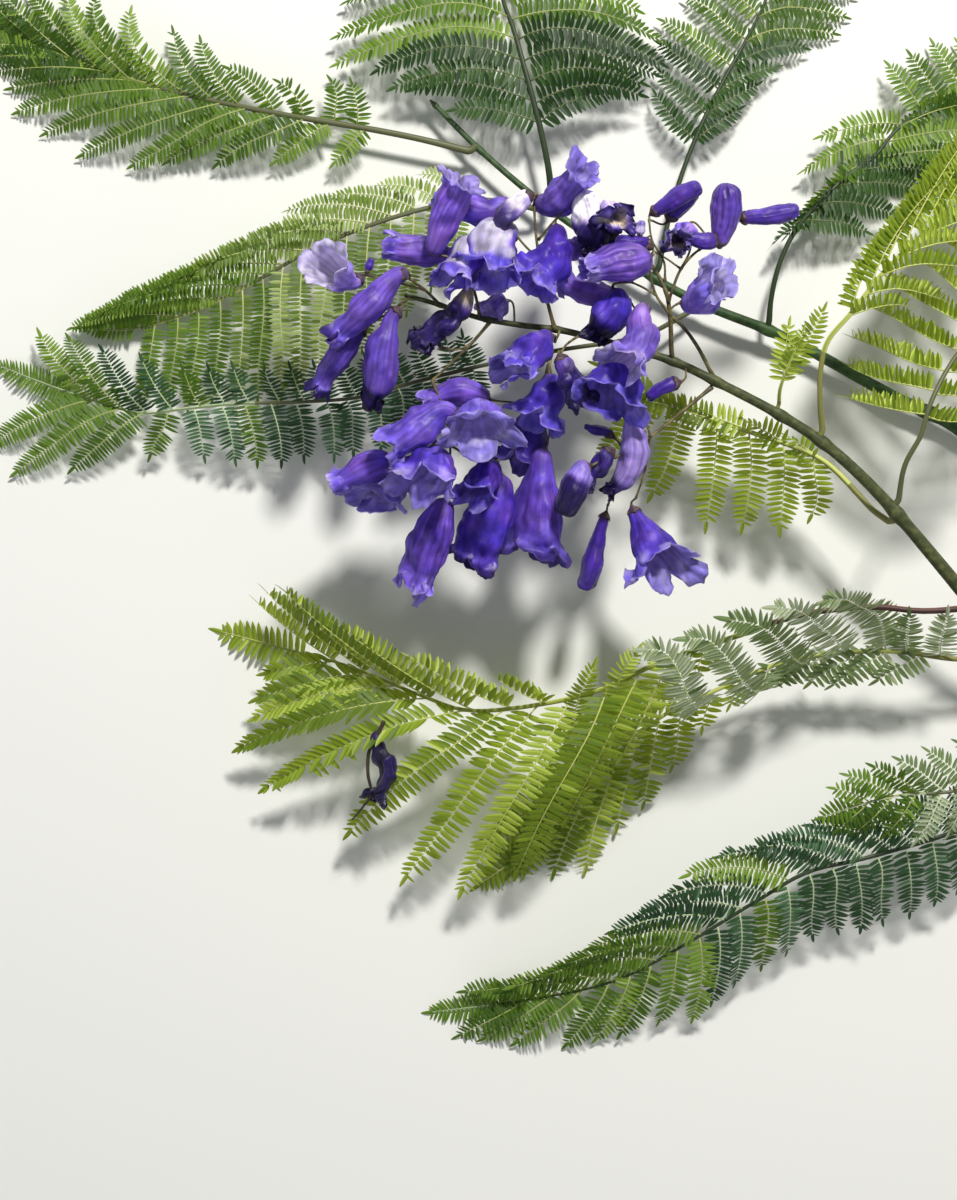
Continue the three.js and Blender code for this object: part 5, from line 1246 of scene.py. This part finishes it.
def grow_flower(spec, seed, cols=60, rows=28):
    """One flower as a list of closed parts (vertices, faces, tints, veins), with its foot's place and direction."""
    g = np.random.default_rng(seed * 7 + 3)
    q, tan, n, b, r, t, total = tube_frame(spec, rows, g)
    kind = spec["k"]
    th = 2 * math.pi * np.arange(cols) / cols + math.radians(18)
    TH, T = np.broadcast_to(th, (rows, cols)), np.repeat(t[:, None], cols, 1)
    e, crumple = section(TH, T, spec, seed, g)
    flat = spec.get("flat", {"wilt": 0.66, "bud": 0.86}.get(kind, 0.84))
    flats = 1 - (1 - flat) * ramp(t, 0.1, 0.55)
    if kind == "bell":
        flats = flats * (1 - spec.get("squash", 0.34) * ramp(t, 0.55, 1.0))
    R = r[:, None] * e
    # how far each place looks up at the light
    sky = unit(np.array([0.12, 0.72, 0.68]))
    lit_n, lit_b = n @ sky, b @ sky
    v = q[:, None] + b[:, None] * (R * np.cos(th))[..., None] + n[:, None] * (R * flats[:, None] * np.sin(th))[..., None]
    parts = []
    shift = 9.7 * seed
    if kind == "bud":
        # the folded lobes close the end
        steps = 9
        w = np.linspace(0, 1, steps + 1)[1:]
        rows2, tt = [], []
        last = v[-1] - q[-1]
        lean = b[-1] * g.normal(0, 0.15) + n[-1] * g.normal(0, 0.15)
        seam = 1 - 0.10 * np.abs(np.cos(2.5 * (th - math.radians(54)))) ** 6
        for x in w:
            k = math.cos(x * math.pi / 2) ** 0.62
            swirl = 0.35 * x
            c_, s_ = math.cos(swirl), math.sin(swirl)
            ring = last @ np.eye(3)
            along_b, along_n = ring @ b[-1], ring @ n[-1]
            ring = (b[-1] * (along_b * c_ - along_n * s_)[:, None] + n[-1] * (along_b * s_ + along_n * c_)[:, None])
            ring = ring * (k * (seam ** (1 + 3 * x)))[:, None]
            rows2.append(q[-1] + ring + (tan[-1] + lean * x) * r[-1] * 0.85 * math.sin(x * math.pi / 2))
            tt.append(1 + 0.2 * x)
        v = np.concatenate([v, np.array(rows2)])
        TH = np.broadcast_to(th, (rows + steps, cols))
        T = np.concatenate([T, np.repeat(np.array(tt)[:, None], cols, 1)])
        v = v.reshape(-1, 3)
        quads = grid_faces(rows + steps, cols)
        nn = vertex_normals(v, quads)
        fade = ramp(T.ravel(), 0.05, 0.4)
        v = v + nn * ((0.22 * space_noise(v, 7.0, seed) + 0.10 * space_noise(v, 2.6, seed + 1)) * fade)[:, None]
        lit = np.interp(T, t, lit_n) * np.sin(TH) + np.interp(T, t, lit_b) * np.cos(TH)
        c = colour_tube(TH, np.minimum(T, 1), spec, g, seed, v.reshape(-1, cols, 3), lit)
        c = mix(c, (66, 40, 140), 0.5 * ramp(T, 0.8, 1.05))
        # painted shade: the seams between the folded lobes darkened
        line = np.abs(np.cos(2.5 * (TH - math.radians(54) + 1.2 * np.clip(T - 1, 0, 1)))) ** 10
        c = mix(c, (48, 30, 110), 0.6 * line * ramp(T, 0.9, 1.02))
        # painted highlight: the closed end turns pale between the seams
        if spec.get("rim"):
            c = mix(c, (186, 170, 232), spec["rim"] * (1 - line) * ramp(T, 0.95, 1.1) * 0.8)
        c = age_and_highlight(c, np.minimum(T, 1), np.clip(T - 1, 0, 1), TH, spec, v.reshape(-1, cols, 3), seed, lit).reshape(-1, 3)
        vein = np.stack([4 * np.cos(TH), 4 * np.sin(TH), 1.2 * T + shift], -1).reshape(-1, 3)
        m = rows + steps
        k = np.arange(cols)
        ends = np.array([q[0] - tan[0] * 0.2, v[(m - 1) * cols:].mean(0)])
        caps = np.vstack([np.stack([np.full(cols, m * cols), (k + 1) % cols, k], 1),
                          np.stack([np.full(cols, m * cols + 1), (m - 1) * cols + k, (m - 1) * cols + (k + 1) % cols], 1)])
        v = np.vstack([v, ends])
        c = np.vstack([c, c[:1], c[-1:]])
        vein = np.vstack([vein, vein[:1], vein[-1:]])
        parts.append((v, [quads, caps], tint(c), vein))
        return parts, dict(foot=q[0], dir=tan[0], r=float(r[4]))
    # the five lobes go on from the mouth
    verts = [v.reshape(-1, 3)]
    quads = [grid_faces(rows, cols)]
    TT, MM, AA, HH = [T.ravel()], [np.zeros(rows * cols)], [np.zeros(rows * cols)], [TH.ravel()]
    count = rows * cols
    Tj = unit(v[-1] - v[-4])
    Rj = v[-1] - q[-1]
    Rj = unit(Rj - Tj * (Rj * Tj).sum(-1, keepdims=True))
    ruffle = spec.get("ruffle", 1.0) * (1.5 if kind == "wilt" else 1.0)
    per = cols // 5
    for k in range(5):
        idx = (np.arange(per + 1) + per * k) % cols
        mid = idx[per // 2]
        a = np.linspace(-1, 1, per + 1)
        blend = 0.5
        tt = unit(Tj[idx] * (1 - blend) + Tj[mid] * blend)
        rr = Rj[idx] * (1 - blend) + Rj[mid] * blend
        rr = unit(rr - tt * (rr * tt).sum(-1, keepdims=True))
        L = spec["L"][k] * g.uniform(0.92, 1.08)
        bend = math.radians(spec["b"][k] + g.normal(0, 5))
        m = np.linspace(0, 1, LOBE_ROWS + 1)
        e0 = g.uniform(0.26, 0.36)
        skew = g.normal(0, 0.10)
        h = e0 + (1 - e0) * np.clip(1 - np.abs(a + skew * (1 - a * a)) ** 2.5, 0, 1) ** (1 / 2.4)
        h = h * (1 + 0.05 * np.sin(a * g.uniform(3, 6) + g.uniform(0, 6)) + 0.03 * np.sin(a * 11 + g.uniform(0, 6)))
        ph = bend * m ** g.uniform(0.75, 1.1)
        pm = 0.5 * (ph[1:] + ph[:-1])
        C = np.concatenate([[0], np.cumsum(np.cos(pm))]) / LOBE_ROWS
        S = np.concatenate([[0], np.cumsum(np.sin(pm))]) / LOBE_ROWS
        lat = unit(np.cross(Tj[mid], Rj[mid]))
        base = v[-1][idx]
        if np.dot(base[-1] - base[0], lat) < 0:
            lat = -lat
        half = 0.5 * np.linalg.norm(base[-1] - base[0])
        bulge = g.uniform(0.18, 0.30)
        f1, f2 = g.uniform(0.5, 0.9), g.uniform(1.0, 1.7)
        p1, p2, p3 = g.uniform(0, 6.28, 3)
        tw = g.normal(0, 0.16)
        for i in range(1, LOBE_ROWS + 1):
            x = m[i]
            pos = base + L * h[:, None] * (C[i] * tt + S[i] * rr)
            pos = pos + lat * (a * half * bulge * math.sin(math.pi * min(1, x * 0.75)) * ruffle ** 0.3)[:, None]
            up = -math.sin(ph[i]) * tt + math.cos(ph[i]) * rr
            wave = (0.6 * np.sin(2 * math.pi * f1 * a + p1) + 0.5 * np.sin(2 * math.pi * f2 * a + p2 + 1.2 * x)) * (0.3 + 0.7 * np.abs(a))
            wave = wave * 0.16 * ruffle * x ** 1.3 + 0.10 * x * np.sin(3.0 * x + p3) * ruffle - 0.10 * x * (1 - np.abs(a)) ** 2 + tw * a * x
            pos = pos + up * (L * wave)[:, None]
            verts.append(pos)
            TT.append(np.ones(per + 1))
            MM.append(np.full(per + 1, x))
            AA.append(a)
            ang = th[0] + 2 * math.pi * (np.arange(per + 1) + per * k) / cols
            HH.append(ang)
        top = (rows - 1) * cols + idx
        first = count + np.arange(per + 1)
        quads.append(np.stack([top[:-1], top[1:], first[1:], first[:-1]], 1))
        quads.append(grid_faces(LOBE_ROWS, per + 1, off=count, closed=False))
        count += LOBE_ROWS * (per + 1)
    v = np.concatenate(verts)
    quads = np.concatenate(quads)
    T, M, A, TH = (np.concatenate(x) for x in (TT, MM, AA, HH))
    nn = vertex_normals(v, quads)
    fade = ramp(T, 0.05, 0.5)
    size = 6.0 if kind == "wilt" else 8.5
    wild = 1 + 0.9 * ramp(T + M, 0.85, 1.4)
    v = v + nn * ((0.62 * crumple * wild * space_noise(v, size, seed) + 0.20 * crumple * wild * space_noise(v, 3.4, seed + 1)) * fade)[:, None]
    wall = 0.30
    w, faces = thicken(v, quads, wall)
    edge = np.clip(np.maximum(np.abs(A) ** 5, M ** 5), 0, 1) * (M > 0)
    sin = np.sin(TH)
    lit = np.interp(T, t, lit_n) * sin + np.interp(T, t, lit_b) * np.cos(TH)
    outer = colour_tube(TH, T, spec, g, seed, v, lit)
    lobe = np.broadcast_to(np.array([116.0, 94.0, 210.0]), outer.shape)
    keep = {k: spec.get(k, 0.0) for k in ("deep", "warm", "pale", "blue")}
    lobe = mix(lobe, (170, 132, 214), 0.6 * keep["warm"])
    lobe = mix(lobe, (100, 96, 224), 0.7 * keep["blue"])
    lobe = mix(lobe, (218, 210, 246), 0.9 * keep["pale"])
    lobe = mix(lobe, (66, 46, 170), 0.7 * keep["deep"])
    lobe = mix(lobe, (76, 48, 166), 0.6 * ramp(space_noise(v, 12.0, seed + 6), 0.1, 1.2))
    lobe = mix(lobe, (196, 182, 244), 0.6 * ramp(space_noise(v, 10.0, seed + 7), 0.3, 1.3))
    outer = mix(outer, lobe, ramp(M + 0.6 * ramp(T, 0.8, 1.0), 0.2, 0.9))
    # painted highlight: the edges of the lobes turn pale, outside and inside
    rim = 0.42 + 0.58 * spec.get("rim", 0.0)
    outer = mix(outer, (226, 218, 250), rim * edge)
    inner = mix(lobe, (140, 126, 230), 0.3)
    throat = spec.get("throat", 0.55)
    inside = ramp(T, 1.05, 0.75) * (M <= 0)
    inner = mix(inner, (214, 206, 240), spec.get("inside", 0.3) * ramp(T, 1.0, 0.7) * (M <= 0))
    near = ramp(1 - T + 1.2 * M, 0.75, 0.05)
    white = (232, 224, 250) if throat <= 1 else (216, 200, 164)
    inner = mix(inner, white, np.clip(throat, 0, 1) * near * (0.45 + 0.55 * ramp(-sin, -0.5, 0.6)))
    # painted glow: the inside turned near-white, as if lit through the petals
    inner = mix(inner, (240, 234, 252), spec.get("glow", 0.0) * (1 - 0.5 * edge))
    # painted highlight on the lobe edges, inside
    inner = mix(inner, (226, 218, 250), rim * 0.8 * edge)
    if spec.get("slate"):
        inner = mix(inner, (158, 152, 192), spec["slate"] * ramp(M, 1.1, 0.2))
    # darker veins fan out inside the throat
    inner = mix(inner, (120, 92, 190), 0.24 * ramp(M, 0.9, 0.0) * (np.cos(20 * TH + seed) * 0.5 + 0.5) ** 4)
    outer = np.clip(outer * 1.13 + 3, 0, 250)
    outer = age_and_highlight(outer, T, M, TH, spec, v, seed, lit)
    inner = age_and_highlight(inner, T, M, TH, {**spec, "top": 0.0, "foot": 0.0}, v, seed + 3, lit)
    # painted highlight: pale edges on the withered lobes
    if spec.get("rim") and kind == "wilt":
        outer = mix(outer, (168, 156, 224), spec["rim"] * edge * 0.8)
        inner = mix(inner, (168, 156, 224), spec["rim"] * edge * 0.8)
    vein = np.stack([4 * np.cos(TH), 4 * np.sin(TH), 1.2 * (T + M) + shift], -1)
    parts.append((w, faces, tint(np.vstack([inner, outer])), np.vstack([vein, vein])))
    if spec.get("stamen"):
        for sgn, col, rad in ((0.0, (222, 206, 170), 0.36), (0.22, (216, 206, 226), 0.22), (-0.22, (216, 206, 226), 0.22)):
            z = np.linspace(0.36, 0.72 if sgn else 0.90, 14)
            c = along(q, np.minimum(z, 1)) + tan[-1] * (np.maximum(z - 1, 0) * total)[:, None]
            nn_, bb_ = along(n, np.minimum(z, 1)), along(b, np.minimum(z, 1))
            rr_ = np.interp(np.minimum(z, 1), t, r)
            c = c + nn_ * (0.42 * rr_ * ramp(z, 0.4, 0.8))[:, None] + bb_ * (sgn * rr_ * ramp(z, 0.4, 0.8))[:, None]
            rads = np.full(len(z), rad)
            rads[-3:] = rad * (1.7 if sgn else 1.3), rad * (1.8 if sgn else 1.2), rad * 0.8
            sv, sf = tube(c, rads, 8)
            parts.append((sv, sf, np.broadcast_to(tint(np.array(col, float)), (len(sv), 3)), np.zeros((len(sv), 3))))
    return parts, dict(foot=q[0], dir=tan[0], r=float(r[4]))


feet = []
for i, (name, spec) in enumerate(FLOWERS.items()):
    parts, info = grow_flower(spec, 11 + i)
    bag = Bag()
    for v, f, c, vein in parts:
        bag.add(v, f, 0, c, vein)
    mat = {"bell": petal, "bud": petal_bud, "wilt": petal_dry}[spec["k"]]
    ob = bag.object(name + "_flower", [mat], tinted=True)
    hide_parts(name)
    if name != "bloom_withered":
        feet.append(info)
small = Bag()
for i, spec in enumerate(SMALL):
    parts, info = grow_flower(spec, 200 + i, rows=22)
    for v, f, c, vein in parts:
        small.add(v, f, {"bell": 0, "bud": 1, "wilt": 2}[spec["k"]], c, vein)
    feet.append(info)
ob = small.object("small_blossom", [petal, petal_bud, petal_dry], tinted=True)

# a stalk and a calyx for each flower, from the nearest twig
main = spline([at(p) for p in LIMBS["flowering_shoot"][0]], 20)
spur = spline([at(p) for p in LIMBS["panicle_spur"][0]], 20)
targets = np.vstack(twig_paths + [along(main, np.linspace(0.55, 1, 160)), along(spur, np.linspace(0, 1, 40))])
calyx = Bag()
for i, info in enumerate(feet):
    p, d = info["foot"], info["dir"]
    g = np.random.default_rng(900 + i)
    dist = np.linalg.norm(targets - p, axis=1)
    ahead = (targets - p) @ d
    score = dist + np.where(ahead > 0.4 * dist, 9, 0) + np.where(dist < 2.5, 5, 0)
    a = targets[score.argmin()]
    end = p + d * 0.3
    far = np.linalg.norm(end - a)
    c1 = a + (end - a) * 0.35 + np.array([0, 0.06 * far, 0.12 * far]) + g.normal(0, 0.05, 3) * far
    c2 = end - d * min(4.5, 0.5 * far + 0.8)
    w = np.linspace(0, 1, 14)[:, None]
    q = (1 - w) ** 3 * a + 3 * (1 - w) ** 2 * w * c1 + 3 * (1 - w) * w ** 2 * c2 + w ** 3 * end
    r = np.interp(np.linspace(0, 1, 14), [0, 0.12, 0.78, 1], [0.72, 0.44, 0.46, 0.95])
    v, f = tube(q, r, 9)
    twigs.add(v, f)
    # a small cup with five blunt teeth
    k = 30
    w = 2 * math.pi * np.arange(k) / k
    n = unit(np.cross(d, [0.3, 0.2, 0.9]))
    b = np.cross(d, n)
    tooth = 0.42 * np.cos(5 * w) + 0.12 * np.cos(10 * w)
    rr = min(info["r"], 2.9)
    rings = []
    for h, rad, th in ((-0.7, 0.7, 0), (-0.1, 1.15, 0), (0.7, 0.72 * rr + 0.3, 0), (1.7, rr + 0.36, 0.2), (2.5, rr + 0.46, 1.0),
                       (2.45, rr + 0.22, 1.0), (1.5, rr + 0.05, 0)):
        c = p + d * h
        wob = 1 + 0.03 * np.cos(5 * w) + 0.02 * np.sin(3 * w + i)
        rings.append(c + d * (tooth * th)[:, None] + n * (rad * wob * np.cos(w))[:, None] + b * (rad * wob * np.sin(w))[:, None])
    v = np.concatenate(rings)
    c0 = len(v)
    m = len(rings)
    v = np.vstack([v, rings[0].mean(0), rings[-1].mean(0)])
    kk = np.arange(k)
    caps = np.vstack([np.stack([np.full(k, c0), (kk + 1) % k, kk], 1),
                      np.stack([np.full(k, c0 + 1), (m - 1) * k + kk, (m - 1) * k + (kk + 1) % k], 1)])
    calyx.add(v, [grid_faces(m, k), caps])
twig_ob = twigs.object("panicle_twigs", [twig_green])
calyx_mat = bark_mat("calyx", (48, 32, 50), (104, 88, 76), (72, 54, 62), scale=420, spots=False, bump=0.2)
calyx_ob = calyx.object("calyxes", [calyx_mat])
# the black twig that the withered flower hangs from
dead = Bag()
path = spline([at(p) for p in DEAD_TWIG], 16)
q = along(path, np.linspace(0, 1, 60))
s = lengths(q)
n = wave_noise(77, 6, 0.3, 1.6)
v, f = tube(q, np.interp(s / s[-1], [0, 0.5, 1], [0.9, 0.75, 0.35]), 9, lambda a, w: 0.08 * n(a, w))
dead.add(v, f)
ob = dead.object("dead_twig", [dead_twig])


# ---------------------------------------------------------------- floor, light, camera
floor_mat, nt, b = new_mat("floor_pale", 0.9, 0.2, color=srgb(222, 222, 218))
me = bpy.data.meshes.new("floor")
s = 6.0
me.from_pydata([(-s, -s, 0), (s, -s, 0), (s, s, 0), (-s, s, 0)], [], [(0, 1, 2, 3)])
me.materials.append(floor_mat)
floor = bpy.data.objects.new("floor", me)
bpy.context.scene.collection.objects.link(floor)


def area(name, loc, aim, size, watts, color=(1, 1, 1)):
    li = bpy.data.lights.new(name, "AREA")
    li.shape = "DISK"
    li.size = size
    li.energy = watts
    li.color = color
    ob = bpy.data.objects.new(name, li)
    ob.location = loc
    from mathutils import Vector
    ob.rotation_euler = (Vector(aim) - Vector(loc)).to_track_quat("-Z", "Y").to_euler()
    ob.visible_camera = False
    bpy.context.scene.collection.objects.link(ob)
    return ob


area("key", (0.35, 1.10, 1.40), (0, 0, 0.03), 0.26, 43, (1.0, 0.98, 0.94))
area("fill", (-1.3, -0.4, 1.0), (0, 0, 0.03), 1.2, 4, (0.94, 0.97, 1.0))
area("low", (0.9, -1.2, 0.7), (0, 0, 0.03), 1.0, 2.5, (1.0, 1.0, 1.0))
world = bpy.data.worlds.new("soft_sky")
world.use_nodes = True
world.node_tree.nodes["Background"].inputs["Color"].default_value = (0.94, 0.97, 1.0, 1)
world.node_tree.nodes["Background"].inputs["Strength"].default_value = 0.25
bpy.context.scene.world = world
bpy.context.scene.view_settings.view_transform = "Standard"

cam = bpy.data.cameras.new("camera")
cam.sensor_fit = "VERTICAL"
cam.sensor_height = 24
cam.lens = 12 / (600 * STEP / EYE)
cam.clip_start, cam.clip_end = 0.01, 20
cam_ob = bpy.data.objects.new("camera", cam)
cam_ob.location = (SHIFT[0] * 0.001, SHIFT[1] * 0.001, (EYE + HEIGHT + SHIFT[2]) * 0.001)
bpy.context.scene.collection.objects.link(cam_ob)
bpy.context.scene.camera = cam_ob
